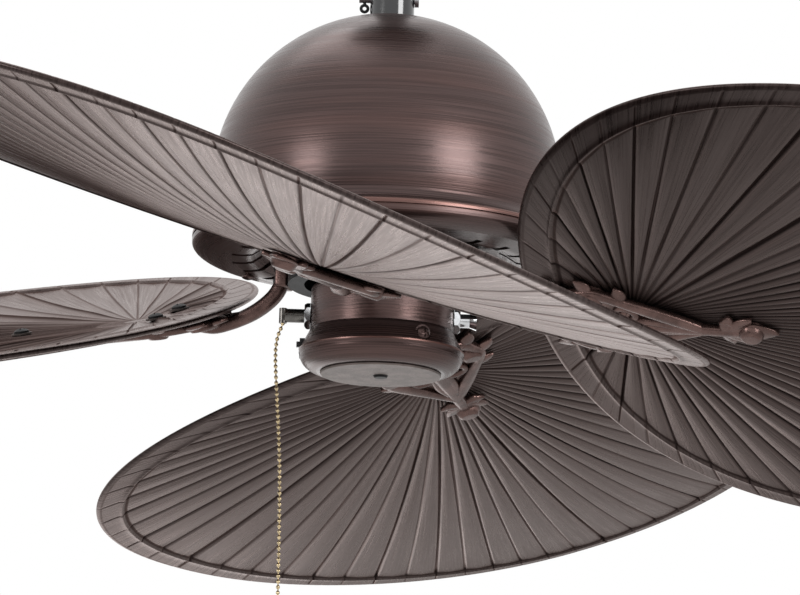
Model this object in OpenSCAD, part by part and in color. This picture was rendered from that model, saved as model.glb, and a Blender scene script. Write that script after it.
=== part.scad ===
// Ceiling fan with four pleated leaf blades, hung on a downrod and a ball.
// Millimetres. Origin: middle of the hanger bracket's top face, at the ceiling, +Z up.
// Everything below the canopy is placed from the hub plane, the level where dome and bowl meet.

/* [Ceiling mount] */
// Height of the canopy from the ceiling to its lower lip
canopy_h = 62; // [58:1:70]
// Radius of the canopy's rim
canopy_r = 75; // [73:0.5:85]
// Thickness of the canopy's wall
canopy_wall = 1.2; // [0.8:0.1:2]
// Radius of the canopy's hole, in which the downrod swings
canopy_hole_r = 22; // [21:0.5:25]
// Distance between the two ceiling screws
ceiling_hole_spacing = 88.9; // [88:0.1:95]
// Length of a ceiling screw slot, end to end
ceiling_slot_len = 14; // [10:0.5:14.5]
// Width of a ceiling screw slot
ceiling_slot_w = 5.2; // [4.5:0.1:6.5]
// Width of the hanger bracket
bracket_w = 32; // [28:1:36]
// Thickness of the bracket's steel
bracket_t = 2; // [1.5:0.1:2.4]
// Radius of the hanger ball
ball_r = 28; // [26.5:0.25:29]
// Depth of the ball's centre under the ceiling
ball_depth = 32; // [30:1:34]
// Height of the hanger ball between its two flats
ball_h = 32; // [28:1:34]

/* [Downrod] */
// Outer radius of the downrod
rod_r = 13; // [12:0.1:13.5]
// Wall of the downrod
rod_wall = 1.8; // [1.2:0.1:2.2]
// Length of downrod that shows between canopy and dome
rod_drop = 127; // [100:1:300]
// Radius of the two cross pins through the downrod
pin_r = 3; // [2.5:0.1:3.2]
// Height of the lower cross pin above the dome's crown
rod_pin_rise = 12; // [10.5:0.5:20]

/* [Motor housing] */
// Radius of the dome
dome_r = 102; // [98:0.5:108]
// Height of the dome's centre above the hub plane
dome_rise = 29; // [26:0.5:34]
// Wall of dome and bowl
shell_wall = 1.5; // [1:0.1:2]
// Radius of the dome's flared lip
lip_r = 112; // [110:0.5:116]
// Height of the dome's flare, from the dome down to its lip
flare_h = 9; // [7:0.5:11]
// Height of the lip's upright band
lip_band = 3; // [2:0.25:4]
// Height of the dark seam between the dome and the bowl
seam_h = 1.4; // [1:0.1:2]
// Depth of the bowl under its rim
bowl_h = 9; // [8:0.25:11]
// Number of vent slots round the bowl
vent_count = 24; // [16:1:28]
// Width of a vent slot
vent_w = 5; // [3:0.25:6]

/* [Motor] */
// Radius of the motor shaft
shaft_r = 8; // [7.5:0.1:8.5]
// Radius of the shaft's bore, which the wires run through
shaft_bore_r = 5; // [4:0.1:5.5]
// Radius of the stator
stator_r = 58; // [54:0.5:60]
// Height of the stator's iron
stator_h = 26; // [20:1:28]
// Number of stator poles
pole_count = 12; // [8:1:14]
// Gap between stator and rotor
air_gap = 0.5; // [0.4:0.05:0.8]
// Radial thickness of the rotor ring
rotor_ring_t = 11.5; // [8:0.5:13]
// Height of the rotor ring
rotor_ring_h = 30; // [26:1:34]
// Thickness of the two rotor bells
bell_t = 3; // [2.5:0.1:3.5]
// Outer radius of a bearing
bearing_r = 17; // [16.5:0.1:18]
// Width of a bearing
bearing_w = 10; // [9:0.25:11]
// Number of balls in a bearing
bearing_balls_count = 8; // [6:1:9]
// Radius of the flywheel
flywheel_r = 55.5; // [54:0.25:57]
// Height of the flywheel's rim
flywheel_h = 18; // [16.5:0.25:18.5]

/* [Switch housing] */
// Radius of the switch housing
housing_r = 41.7; // [40.5:0.1:43]
// Height of the switch housing
housing_h = 25.5; // [25:0.5:27]
// Wall of switch housing and cap
housing_wall = 1.5; // [1:0.1:1.8]
// Widest radius of the cap
cap_r = 48.1; // [46.5:0.1:50]
// Height of the flare between the housing and the cap's widest line
cap_flare_h = 11.7; // [11:0.1:13]
// Height of the cap under its widest line
cap_h = 11.2; // [10.6:0.1:12.6]
// Radius of the cap's flat underside
cap_flat_r = 35.5; // [34.5:0.5:37]
// Thickness of the plate that closes the cap
cap_plate_t = 1.4; // [1:0.1:2]
// Depth of the chain outlets under the housing's top
outlet_depth = 17.5; // [16:0.1:17.7]
// Outer radius of a chain outlet's barrel
outlet_r = 4; // [3.5:0.1:4.5]
// How far the chain hangs out from the fan's axis where it leaves
outlet_reach = 57.6; // [56:0.1:60]
// Diameter of the pull chain
chain_d = 2.4; // [2:0.1:2.6]

/* [Blades] */
// Radius swept by the blade tips
tip_r = 660; // [560:10:760]
// Radius of the blades' hub end
root_r = 87.4; // [85:0.2:92]
// Half width of a blade at the middle of its length
blade_half_w = 236.5; // [190:2:250]
// How much broader the hub side is than the tip side
blade_egg = 0.33; // [0:0.01:0.4]
// Squareness of the outline, where 2 is an ellipse
blade_square = 2.19; // [2:0.01:2.6]
// Radius at which the ribs meet
rib_meet_r = 147; // [140:1:156]
// Number of ribs in a blade
rib_count = 56; // [36:2:60]
// Height of a pleat from the leaf's middle surface
pleat_h = 1.3; // [0.6:0.1:1.8]
// Thickness of the leaf
leaf_t = 2.4; // [1.6:0.1:3]
// Width of the hem
hem_w = 15; // [10:0.5:20]
// Thickness of the hem
hem_t = 4.8; // [3.4:0.1:5]
// Pitch of the blades
blade_pitch = 17.83; // [12:0.1:19]
// Droop of the blades towards the tip
blade_droop = 2.77; // [0:0.1:4]
// Depth of the blades' middle line below the hub plane, on the fan's axis
blade_drop = 49.4; // [48:0.2:54]
// Rise of the blade's long edges, per 100 mm from its middle line, squared
blade_cup = 1.5; // [0:0.05:2]
// Rise of the blade's ends, per 100 mm from its middle, squared
blade_bend = 1.6; // [1.4:0.05:1.8]
// Direction of the first blade, seen from above
first_blade_angle = -104.35; // [-180:0.05:180]

/* [Blade irons] */
// Width of an iron's leg on the flywheel
leg_w = 17; // [14:0.5:20]
// Thickness of the leg
leg_t = 8; // [7:0.25:9]
// Width of the neck and of the spine
neck_w = 11; // [9:0.25:13]
// Thickness of the neck
neck_t = 8.4; // [7:0.2:9]
// Thickness of the pad under the blade
pad_t = 4; // [3:0.25:5]
// Half width of the pad
pad_half_w = 33; // [30:0.5:38]
// Width of the pad's bars
pad_bar = 6.5; // [5:0.25:8]
// Radius at which the pad is widest
pad_wide_at = 127; // [124:0.5:132]
// Radius of the spine's end screw
spine_end = 218; // [205:1:230]

/* [Hidden] */
$fn = 72;
eps = 0.01;

// Clearances
seat = 0.15;        // a piece in its seat, on the same body
fit_gap = 0.05;     // radial clearance of a running fit
free_gap = 0.3;     // curved faces that only come close
screw_gap = 0.1;    // a screw in its threaded hole
hole_gap = 0.3;     // a screw in a plain hole

// Levels. z is counted from the ceiling, h from the hub plane.
crown_h = dome_rise + dome_r;
hub_z = -(canopy_h + rod_drop + crown_h);
ball_z = -ball_depth;
shaft_top_h = crown_h - 19.3;
seat_h = crown_h - 16;               // underside of the crown flange
rod_foot_h = seat_h + 3.7;
rod_pin_h = crown_h + rod_pin_rise;
lip_top_h = -1;
lip_low_h = lip_top_h - lip_band;
bowl_rim_h = lip_low_h - seam_h;
well_h = bowl_rim_h - 3.6;           // the bowl's raised middle, over the flywheel
fly_top_h = well_h - shell_wall - 1.5;
fly_low_h = fly_top_h - flywheel_h;
housing_top_h = fly_low_h - 1;
housing_low_h = housing_top_h - housing_h;
cap_joint_h = housing_low_h - 0.3;
cap_wide_h = cap_joint_h - cap_flare_h;
bead_low_h = cap_wide_h - 1.2;
cap_low_h = bead_low_h - cap_h;
plate_low_h = cap_low_h - cap_plate_t;
outlet_h = housing_top_h - outlet_depth;

// Motor
stator_mid_h = 35;
ring_in = stator_r + air_gap;
ring_out = ring_in + rotor_ring_t;
bell_r = ring_out + seat + bell_t;
bell_low_h = 4;
bell_top_h = 2 * stator_mid_h - bell_low_h;
race_w = 3;
race_mid = (bearing_r + shaft_r) / 2;
ball_bearing_r = (bearing_r - shaft_r) / 2 - 2.2;
lower_race_h = bell_low_h - 0.5;      // middle of the lower bearing
upper_race_h = bell_top_h + 0.5;
boss_r = bearing_r + 4;
shoulder_r = shaft_r + 2;
neck_r = 36;                          // the flywheel's neck, up through the bowl
fly_web = 4;
fly_bolt_at = 29;
m5 = 2.35;
m4 = 2;

// Switches
cap_screw_h = cap_wide_h + 4.5;
cap_screw_r = housing_r + 2.7;        // the spot faces under the cap's screws
cap_boss_r = 5.2;
plug_hole_r = 3.6;
cap_screw_angle = -58;
spigot_r = housing_r - housing_wall - free_gap;
spigot_t = 1.5;
spigot_top_h = housing_low_h + 3;
spigot_low_h = cap_screw_h - 3.5;
spout_r = 2.3;
chain_bore_r = chain_d / 2 + 0.35;
spout_top_h = outlet_h + 4.2;
chain_top_h = outlet_h + 3.2;
reverse_h = cap_wide_h + 0.9;
bezel_x = cap_r - 0.7;
knob_travel = 4.5;

// Blades and irons
tip_half = (tip_r - root_r) / 2;
blade_mid = (tip_r + root_r) / 2;
leg_x = flywheel_r + seat;
neck_turn_r = 88;                     // from here out the neck lies in the blade's pitch
blade_screws_at = [[pad_wide_at + 1, pad_half_w - 7], [pad_wide_at + 1, 7 - pad_half_w], [spine_end, 0]];
boss_end_r = 7.5;
// The neck's middle line, as radius and depth under the hub plane
neck_path = [[60.2, -13], [60.2, -21], [61.6, -27.5], [65, -33.5], [70.5, -38.8], [77, -43.2],
    [84.5, -46.8], [92.5, -49.6]];
// Chain: points from its top, straight down out of the spout and then in a slight bow
chain_route = [[0, 0, 0], [0, 0, -4], [0, 0, -8], [-0.8, 0, -10.5], [-2, 0, -13.5], [-3, 0, -17.5],
    [-3.6, 0, -23], [-3.5, 0, -30], [-2.9, 0, -39], [-2, 0, -50], [-1, 0, -62], [0, 0, -75], [0.9, 0, -89],
    [1.5, 0, -104], [1.9, 0, -119], [2.2, 0, -134], [2.4, 0, -149], [2.6, 0, -163], [2.6, 0, -177]];
chain_end = chain_route[len(chain_route) - 1];

bronze = "#4a3733";
dark_steel = "#202022";
zinc = "#b9bbc0";
brass = "#c9ad6a";
leaf_brown = "#6a5c58";
iron_bronze = "#5b4640";
copper = "#b06a3a";

// ---- helpers ----
function arc(cx, cy, rx, ry, a0, a1, n = 12) =
    [for (i = [0:n]) [cx + rx * cos(a0 + (a1 - a0) * i / n), cy + ry * sin(a0 + (a1 - a0) * i / n)]];
function unit(v) = v / norm(v);
function flip(list) = [for (i = [len(list) - 1:-1:0]) list[i]];
function run_dir(p, i) = unit(p[min(i + 1, len(p) - 1)] - p[max(i - 1, 0)]);
// Outline of a wall of thickness t on the left of the profile p
function wall_outline(p, t) =
    concat(p, flip([for (i = [0:len(p) - 1]) p[i] + t * [-run_dir(p, i)[1], run_dir(p, i)[0]]]));
function blend_value(a, b, f) = a + (b - a) * f;

module at_hub() {
    translate([0, 0, hub_z]) children();
}

module ring(r_out, r_in, h_low, h_high) {
    translate([0, 0, h_low]) rotate_extrude() translate([r_in, 0]) square([r_out - r_in, h_high - h_low]);
}

// A pan head screw along +Z: its head's seat is at the origin and its shank goes down
module pan_screw(r, length, head_r, head_h) {
    translate([0, 0, -length]) cylinder(r = r, h = length + eps);
    difference() {
        intersection() {
            cylinder(r = head_r, h = head_h);
            translate([0, 0, head_h - 1.6 * head_r]) sphere(r = 1.6 * head_r);
        }
        for (a = [0, 90]) rotate([0, 0, a]) translate([-head_r * 0.6, -head_r * 0.12, head_h * 0.45])
            cube([head_r * 1.2, head_r * 0.24, head_h]);
    }
}

module hex_nut(across, bore, h) {
    difference() {
        cylinder(r = across / 2 / cos(30), h = h, $fn = 6);
        translate([0, 0, -1]) cylinder(r = bore, h = h + 2);
    }
}

// ---- at the ceiling ----
tab_r = canopy_r - canopy_wall - free_gap;
tab_w = 20;
canopy_screw_z = -9;
canopy_top_z = -0.5;

module hanger_bracket() color(zinc) {
    arm_x = 33;
    seat_low = ball_z - 17;
    seat_top = ball_z - 5;
    base_r = 35;
    difference() {
        union() {
            intersection() {
                translate([-canopy_r, -bracket_w / 2, -bracket_t]) cube([2 * canopy_r, bracket_w, bracket_t]);
                translate([0, 0, -bracket_t]) cylinder(r = tab_r, h = bracket_t);
            }
            intersection() {
                ring(tab_r, tab_r - bracket_t, -16, -bracket_t / 2);
                translate([-canopy_r, -tab_w / 2, -20]) cube([2 * canopy_r, tab_w, 20]);
            }
            for (s = [-1, 1]) translate([s * (arm_x + bracket_t / 2), 0, (seat_low - bracket_t) / 2])
                cube([bracket_t, 26, -seat_low], center = true);
            translate([0, 0, seat_low]) cylinder(r = base_r, h = bracket_t);
            translate([0, 0, seat_low]) cylinder(r = arm_x, h = seat_top - seat_low);
        }
        translate([0, 0, ball_z]) sphere(r = ball_r + fit_gap, $fn = 96);
        translate([0, 0, seat_low - 1]) cylinder(r = 22, h = 5);
        translate([-rod_r - 1.5, 0, seat_low - 1]) cube([2 * rod_r + 3, base_r + 1, seat_top - seat_low + 2]);
        for (s = [-1, 1]) translate([s * ceiling_hole_spacing / 2, 0, -bracket_t - 1]) {
            for (e = [-1, 1]) translate([e * (ceiling_slot_len - ceiling_slot_w) / 2, 0, 0])
                cylinder(r = ceiling_slot_w / 2, h = bracket_t + 2);
            translate([-(ceiling_slot_len - ceiling_slot_w) / 2, -ceiling_slot_w / 2, 0])
                cube([ceiling_slot_len - ceiling_slot_w, ceiling_slot_w, bracket_t + 2]);
        }
        for (a = [0, 180]) rotate([0, 0, a]) translate([tab_r - bracket_t - 1, 0, canopy_screw_z])
            rotate([0, 90, 0]) cylinder(r = m4 + screw_gap, h = bracket_t + 2);
    }
}

// The canopy: an upright rim, a bell that draws in, and a turned-down lip round its hole
bell_foot_r = canopy_hole_r + 13;
canopy_lip_r = canopy_hole_r + canopy_wall;
canopy_outer = concat(
    [[canopy_r, canopy_top_z]],
    arc(bell_foot_r + 6, -13, canopy_r - bell_foot_r - 6, canopy_h - 21, 0, -90, 14),
    arc(bell_foot_r, -canopy_h + 4, 6, 4, 90, 180, 4),
    [[canopy_lip_r, -canopy_h + 2], [canopy_lip_r, -canopy_h]]);
canopy_outline = wall_outline(flip(canopy_outer), canopy_wall);

module canopy() color(bronze) difference() {
    rotate_extrude($fn = 120) polygon(canopy_outline);
    for (a = [0, 180]) rotate([0, 0, a]) translate([canopy_r - canopy_wall - 1, 0, canopy_screw_z])
        rotate([0, 90, 0]) cylinder(r = m4 + hole_gap, h = canopy_wall + 2);
}
module canopy_screws() color(bronze)
    for (a = [0, 180]) rotate([0, 0, a]) translate([canopy_r + seat, 0, canopy_screw_z])
        rotate([0, 90, 0]) pan_screw(m4, 6, 4, 2.4);

// ---- hung on the ball ----
module hanger_ball() color("#d8d4cc") translate([0, 0, ball_z]) difference() {
    intersection() {
        sphere(r = ball_r, $fn = 96);
        cube([3 * ball_r, 3 * ball_r, ball_h], center = true);
    }
    cylinder(r = rod_r + seat, h = ball_h + 2, center = true);
    rotate([0, 90, 0]) cylinder(r = pin_r + seat, h = 3 * ball_r, center = true);
}

module ball_pin() color(zinc) translate([0, 0, ball_z])
    rotate([0, 90, 0]) cylinder(r = pin_r, h = 2 * ball_r - 8, center = true);

module downrod() color(dark_steel) difference() {
    rod_top = ball_z + ball_h / 2 + 2;
    ring(rod_r, rod_r - rod_wall, hub_z + rod_foot_h, rod_top);
    for (z = [ball_z, hub_z + rod_pin_h]) translate([0, 0, z])
        rotate([0, 90, 0]) cylinder(r = pin_r + seat, h = 3 * rod_r, center = true);
}

pin_tip = rod_r + 6.4;
pin_head = 2.4;
clip_wire = 0.9;
clip_x = -(rod_r + 3.2);

module rod_pin() color(zinc) at_hub() translate([0, 0, rod_pin_h]) difference() {
    union() {
        translate([-pin_tip, 0, 0]) rotate([0, 90, 0]) cylinder(r = pin_r, h = pin_tip + rod_r + 1);
        translate([rod_r + seat, 0, 0]) rotate([0, 90, 0]) cylinder(r = pin_r + 1.7, h = pin_head);
    }
    translate([clip_x, 0, 0]) cylinder(r = clip_wire + seat, h = 4 * pin_r, center = true);
}

module hairpin_clip() color(dark_steel) at_hub() translate([clip_x, 0, rod_pin_h]) {
    loop_r = 2;
    leg = pin_r + 1.4;
    translate([0, 0, -leg]) cylinder(r = clip_wire, h = leg + 8);
    translate([0, 0, -leg - loop_r]) rotate([90, 0, 0])
        rotate_extrude() translate([loop_r, 0]) circle(r = clip_wire, $fn = 24);
}

stem_r = rod_r - rod_wall - free_gap;
stem_collar = rod_r + 7.5;
stem_land = rod_r + 5;

module motor_stem() color(dark_steel) at_hub() difference() {
    foot = seat_h - 19;
    rotate_extrude() polygon([[shaft_r + seat, foot], [stem_collar, foot], [stem_collar, seat_h],
        [stem_land, seat_h], [stem_land, rod_foot_h], [stem_r, rod_foot_h], [stem_r, rod_pin_h + 12],
        [stem_r - 1.7, rod_pin_h + 12], [stem_r - 1.7, shaft_top_h + free_gap],
        [shaft_r + seat, shaft_top_h + free_gap]]);
    translate([0, 0, rod_pin_h]) rotate([0, 90, 0]) cylinder(r = pin_r + seat, h = 4 * stem_r, center = true);
}

// Height of the dome's inner face at radius r
function dome_inside(r) = dome_rise + sqrt(pow(dome_r - shell_wall, 2) - r * r);
stud_at = stem_collar + 5.5;
flange_r = stud_at + 6;
stud_low_h = seat_h - 6;
stud_count = 3;

module at_studs() {
    for (k = [0:stud_count - 1]) rotate([0, 0, 60 + k * 360 / stud_count])
        translate([stud_at, 0, 0]) children();
}

module crown_flange() color(zinc) at_hub() difference() {
    rotate_extrude() polygon([[stem_land + seat, seat_h], [flange_r, seat_h],
        [flange_r, dome_inside(flange_r) - free_gap], [stem_land + seat, dome_inside(stem_land) - free_gap]]);
    translate([0, 0, seat_h - 1]) at_studs() cylinder(r = m4 + hole_gap, h = 20);
}

module dome_nuts() color(zinc) at_hub() translate([0, 0, seat_h - 3.2])
    at_studs() hex_nut(7, m4 + screw_gap, 3.2);

// The dome: a sphere from the crown's hole down, then a flare out to an upright lip
flare_top_h = lip_top_h + flare_h;
flare_in_r = sqrt(pow(dome_r, 2) - pow(dome_rise - flare_top_h, 2));
crown_hole_r = rod_r + 1.2;
bead = 1.6;
dome_outer = concat(
    [[lip_r, lip_low_h], [lip_r, lip_top_h - bead]],
    arc(lip_r - bead, lip_top_h - bead, bead, bead, 15, 75, 4),
    arc(lip_r - bead, lip_top_h + flare_h, lip_r - bead - flare_in_r, flare_h - 0.1, -90, -180, 9));
dome_cut = wall_outline(dome_outer, shell_wall);

module dome() color(bronze) at_hub() {
    difference() {
        union() {
            intersection() {
                translate([0, 0, dome_rise]) difference() {
                    sphere(r = dome_r, $fn = 180);
                    sphere(r = dome_r - shell_wall, $fn = 180);
                }
                translate([0, 0, flare_top_h - 0.4]) cylinder(r = 2 * dome_r, h = 2 * dome_r);
            }
            rotate_extrude($fn = 180) polygon(dome_cut);
            intersection() {
                at_bowl_screws() translate([-lug_in, -lug_w / 2, lug_low_h])
                    cube([dome_r - lug_at + lug_in, lug_w, lug_top_h - lug_low_h]);
                translate([0, 0, dome_rise]) sphere(r = dome_r - shell_wall / 2);
            }
            intersection() {
                translate([0, 0, stud_low_h]) at_studs() cylinder(r = m4, h = 40);
                translate([0, 0, dome_rise]) sphere(r = dome_r - shell_wall / 2);
            }
        }
        translate([0, 0, crown_h - 20]) cylinder(r = crown_hole_r, h = 40);
        at_bowl_screws() cylinder(r = m4 + screw_gap, h = 2 * lug_top_h, center = true);
    }
}

// The bowl: a skirt inside the dome's lip, a rim under the seam, a shallow dish with
// vent slots, and a raised middle that makes room for the flywheel
skirt_r = lip_r - shell_wall - free_gap;
skirt_top_h = lip_top_h - shell_wall - 2 * free_gap;
dish_r = 87;
well_r = 66;
bowl_hole_r = neck_r + 4;
bowl_low_h = bowl_rim_h - bowl_h - 1.6;
bowl_outer = concat(
    [[bowl_hole_r, well_h], [well_r, well_h], [well_r + 5, well_h - 2.2]],
    arc(dish_r - 3, bowl_low_h + 4, 12, 4, -125, -70, 6),
    arc(lip_r - 24, bowl_rim_h - 1.6, 24, bowl_h, -58, -6, 8),
    [[lip_r, bowl_rim_h - 1.2], [lip_r, bowl_rim_h], [skirt_r, bowl_rim_h], [skirt_r, skirt_top_h]]);

// Three screws go up through the dish into lugs inside the dome
lug_low_h = 2.5;
lug_top_h = 11;
lug_at = lip_r - 20;
lug_in = 5.5;
lug_w = 12;
bowl_screw_head_h = bowl_low_h - 0.3;

module at_bowl_screws() {
    for (a = [30, 150, 270]) rotate([0, 0, a]) translate([lug_at, 0, 0]) children();
}

module lower_bowl() color(bronze) at_hub() difference() {
    rotate_extrude($fn = 180) polygon(wall_outline(bowl_outer, shell_wall));
    for (k = [0:vent_count - 1]) rotate([0, 0, (k + 0.5) * 360 / vent_count])
        translate([well_r + 1, -vent_w / 2, bowl_low_h - 5]) cube([22, vent_w, 20]);
    at_bowl_screws() cylinder(r = m4 + hole_gap, h = 60, center = true);
}

module bowl_screws() color(bronze) at_hub() at_bowl_screws() translate([0, 0, bowl_screw_head_h])
    rotate([180, 0, 0]) pan_screw(m4, lug_top_h - 1 - bowl_screw_head_h, 3.8, 2.2);

// ---- motor ----
module motor_shaft() color(zinc) at_hub() {
    shoulder_top = lower_race_h - bearing_w / 2;
    thread_low = housing_top_h - 9.5;
    rotate_extrude() polygon([[shaft_bore_r, thread_low], [shaft_r, thread_low], [shaft_r, housing_top_h],
        [shoulder_r, housing_top_h], [shoulder_r, shoulder_top], [shaft_r, shoulder_top],
        [shaft_r, shaft_top_h], [shaft_bore_r, shaft_top_h]]);
}

module shaft_circlip() color(dark_steel) at_hub() difference() {
    translate([0, 0, upper_race_h + bearing_w / 2 + 0.2]) difference() {
        cylinder(r = shaft_r + 3, h = 1);
        translate([0, 0, -1]) cylinder(r = shaft_r + fit_gap, h = 3);
        translate([0, -2, -1]) cube([20, 4, 3]);
    }
}

module shaft_nut() color(zinc) at_hub()
    translate([0, 0, housing_top_h - housing_wall - 5.5]) hex_nut(22, shaft_r + screw_gap, 5.5);

module stator_core() color("#8d8f94") at_hub()
    translate([0, 0, stator_mid_h - stator_h / 2]) linear_extrude(stator_h) difference() {
        union() {
            circle(r = stator_r * 0.42);
            intersection() {
                union() {
                    for (k = [0:pole_count - 1]) rotate([0, 0, k * 360 / pole_count])
                        translate([0, -pole_w / 2]) square([stator_r + 1, pole_w]);
                    difference() {
                        circle(r = stator_r);
                        circle(r = stator_r - 5);
                        for (k = [0:pole_count - 1]) rotate([0, 0, (k + 0.5) * 360 / pole_count])
                            translate([0, -1.5]) square([stator_r + 1, 3]);
                    }
                }
                circle(r = stator_r);
            }
        }
        circle(r = shaft_r + seat);
    }
pole_w = 7;

module stator_windings() color(copper) at_hub() translate([0, 0, stator_mid_h]) {
    coil_in = stator_r * 0.42 + 5;
    coil_out = stator_r - 5.6;
    wind_t = 2.4;
    for (k = [0:pole_count - 1]) rotate([0, 0, k * 360 / pole_count]) difference() {
        translate([coil_in, -pole_w / 2 - wind_t - 0.2, -stator_h / 2 - wind_t - 0.2])
            cube([coil_out - coil_in, pole_w + 2 * wind_t + 0.4, stator_h + 2 * wind_t + 0.4]);
        translate([coil_in - 1, -pole_w / 2 - 0.2, -stator_h / 2 - 0.2])
            cube([coil_out - coil_in + 2, pole_w + 0.4, stator_h + 0.4]);
    }
}

module race(r_in, r_out) {
    difference() {
        ring(r_out, r_in, -bearing_w / 2, bearing_w / 2);
        rotate_extrude() translate([race_mid, 0]) circle(r = ball_bearing_r + fit_gap, $fn = 48);
    }
}

module at_races() {
    for (h = [lower_race_h, upper_race_h]) translate([0, 0, h]) children();
}

module bearing_inner_races() color("#c8ccd2") at_hub() at_races() race(shaft_r + fit_gap, shaft_r + race_w);

module bearing_outer_races() color("#c8ccd2") at_hub() at_races() race(bearing_r - race_w, bearing_r);

module bearing_balls() color("#e4e6ea") at_hub() at_races()
    for (k = [0:bearing_balls_count - 1]) rotate([0, 0, k * 360 / bearing_balls_count])
        translate([race_mid, 0, 0]) sphere(r = ball_bearing_r, $fn = 32);

// A rotor bell, drawn as the upper one: plate, boss round the bearing and a skirt round the ring.
// h counts from the middle of the stator.
module rotor_bell(vents) {
    plate_h = bell_top_h - stator_mid_h;
    boss_top = upper_race_h + bearing_w / 2 - stator_mid_h;
    lip_h = boss_top - bearing_w - 2;
    difference() {
        rotate_extrude($fn = 96) polygon([[bearing_r - 2, lip_h], [boss_r, lip_h],
            [boss_r, plate_h - bell_t], [bell_r - bell_t, plate_h - bell_t], [bell_r - bell_t, seat],
            [bell_r, seat], [bell_r, plate_h], [boss_r, plate_h], [boss_r, boss_top],
            [bearing_r + seat, boss_top], [bearing_r + seat, boss_top - bearing_w - seat],
            [bearing_r - 2, boss_top - bearing_w - seat]]);
        for (k = [0:5]) rotate([0, 0, 30 + 60 * k]) translate([(boss_r + bell_r) / 2 + 2, 0, 0])
            cylinder(r = vents, h = 100);
    }
}

module rotor_upper_bell() color("#9a9ca1") at_hub() translate([0, 0, stator_mid_h]) rotor_bell(7);

module rotor_lower_bell() color("#9a9ca1") at_hub() difference() {
    translate([0, 0, stator_mid_h]) rotate([180, 0, 0]) rotor_bell(7);
    at_fly_bolts() cylinder(r = m5 + screw_gap, h = 100);
}

module rotor_ring() color("#6f7176") at_hub() ring(ring_out, ring_in,
    stator_mid_h - rotor_ring_h / 2, stator_mid_h + rotor_ring_h / 2);

module at_fly_bolts() {
    for (a = [0:90:270]) rotate([0, 0, a]) translate([fly_bolt_at, 0, -40]) children();
}

module flywheel() color(dark_steel) at_hub() difference() {
    rotate_extrude($fn = 120) polygon([[boss_r + free_gap, bell_low_h], [neck_r, bell_low_h],
        [neck_r, fly_top_h], [flywheel_r - 1, fly_top_h], [flywheel_r, fly_top_h - 1],
        [flywheel_r, fly_low_h], [flywheel_r - 9.5, fly_low_h], [flywheel_r - 9.5, fly_top_h - fly_web],
        [boss_r + free_gap, fly_top_h - fly_web]]);
    at_fly_bolts() cylinder(r = m5 + hole_gap, h = 100);
    at_iron_screws() cylinder(r = m5 + screw_gap, h = 14, center = true);
}

module flywheel_bolts() color(zinc) at_hub() for (a = [0:90:270])
    rotate([0, 0, a]) translate([fly_bolt_at, 0, fly_top_h - fly_web]) rotate([180, 0, 0])
        pan_screw(m5, bell_low_h - fly_top_h + fly_web + bell_t, 4.4, 3.4);

// ---- blades ----
module at_blade(k) {
    rotate([0, 0, first_blade_angle + 90 * (k - 1)]) children();
}

// The blade's own frame: x out along the blade, y across it, z square to it
module in_blade_frame() {
    translate([0, 0, -blade_drop]) rotate([0, blade_droop, 0]) rotate([-blade_pitch, 0, 0]) children();
}

// Height of the blade's middle surface over its flat plane
function blade_rise(x, y) = blade_bend * pow((x - blade_mid) / 100, 2) + blade_cup * pow(y / 100, 2);
function signed_power(v, e) = sign(v) * pow(abs(v), e);
// A point of the outline: an egg-shaped superellipse, wider on the hub side
function rim_point(a) =
    let (c = signed_power(cos(a), 2 / blade_square), s = signed_power(sin(a), 2 / blade_square))
    [blade_mid + tip_half * c, blade_half_w * s * (1 - blade_egg * c)];

rim_steps = 2 * rib_count;
rib_meet = [rib_meet_r, 0];
patch_r = 24;
rim = [for (i = [0:rim_steps - 1]) rim_point(360 * i / rim_steps)];
function rim_next(i, k) = rim[(i + k + rim_steps) % rim_steps];
// Length of the hem along a rib, longer where the rib meets the rim at a slant
function hem_along(i) =
    let (d = unit(rim[i] - rib_meet), t = unit(rim_next(i, 1) - rim_next(i, -1)))
    hem_w / max(0.45, abs(d[0] * t[1] - d[1] * t[0]));
// Rings of the leaf, from the patch where the ribs meet out to the rim:
// share of the way to the hem, distance from the hem, pleat height, half thickness
leaf_rings = [
    [0, 0, 0, leaf_t / 2], [0.14, 0, 0.45 * pleat_h, leaf_t / 2], [0.42, 0, 0.85 * pleat_h, leaf_t / 2],
    [0.72, 0, pleat_h, leaf_t / 2], [1, 0, pleat_h, leaf_t / 2], [1, 1.6, 0.2 * pleat_h, hem_t / 2],
    [1, -1, 0, hem_t / 2 - 0.9]];
function leaf_point(i, ring_row, side) =
    let (reach = norm(rim[i] - rib_meet), hem = reach - hem_along(i),
        along = ring_row[1] < 0 ? reach : blend_value(patch_r, hem, ring_row[0]) + ring_row[1],
        p = rib_meet + along * unit(rim[i] - rib_meet),
        pleat = ring_row[2] * (i % 2 == 0 ? 1 : -1))
    [p[0], p[1], blade_rise(p[0], p[1]) + pleat + side * ring_row[3]];

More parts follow.
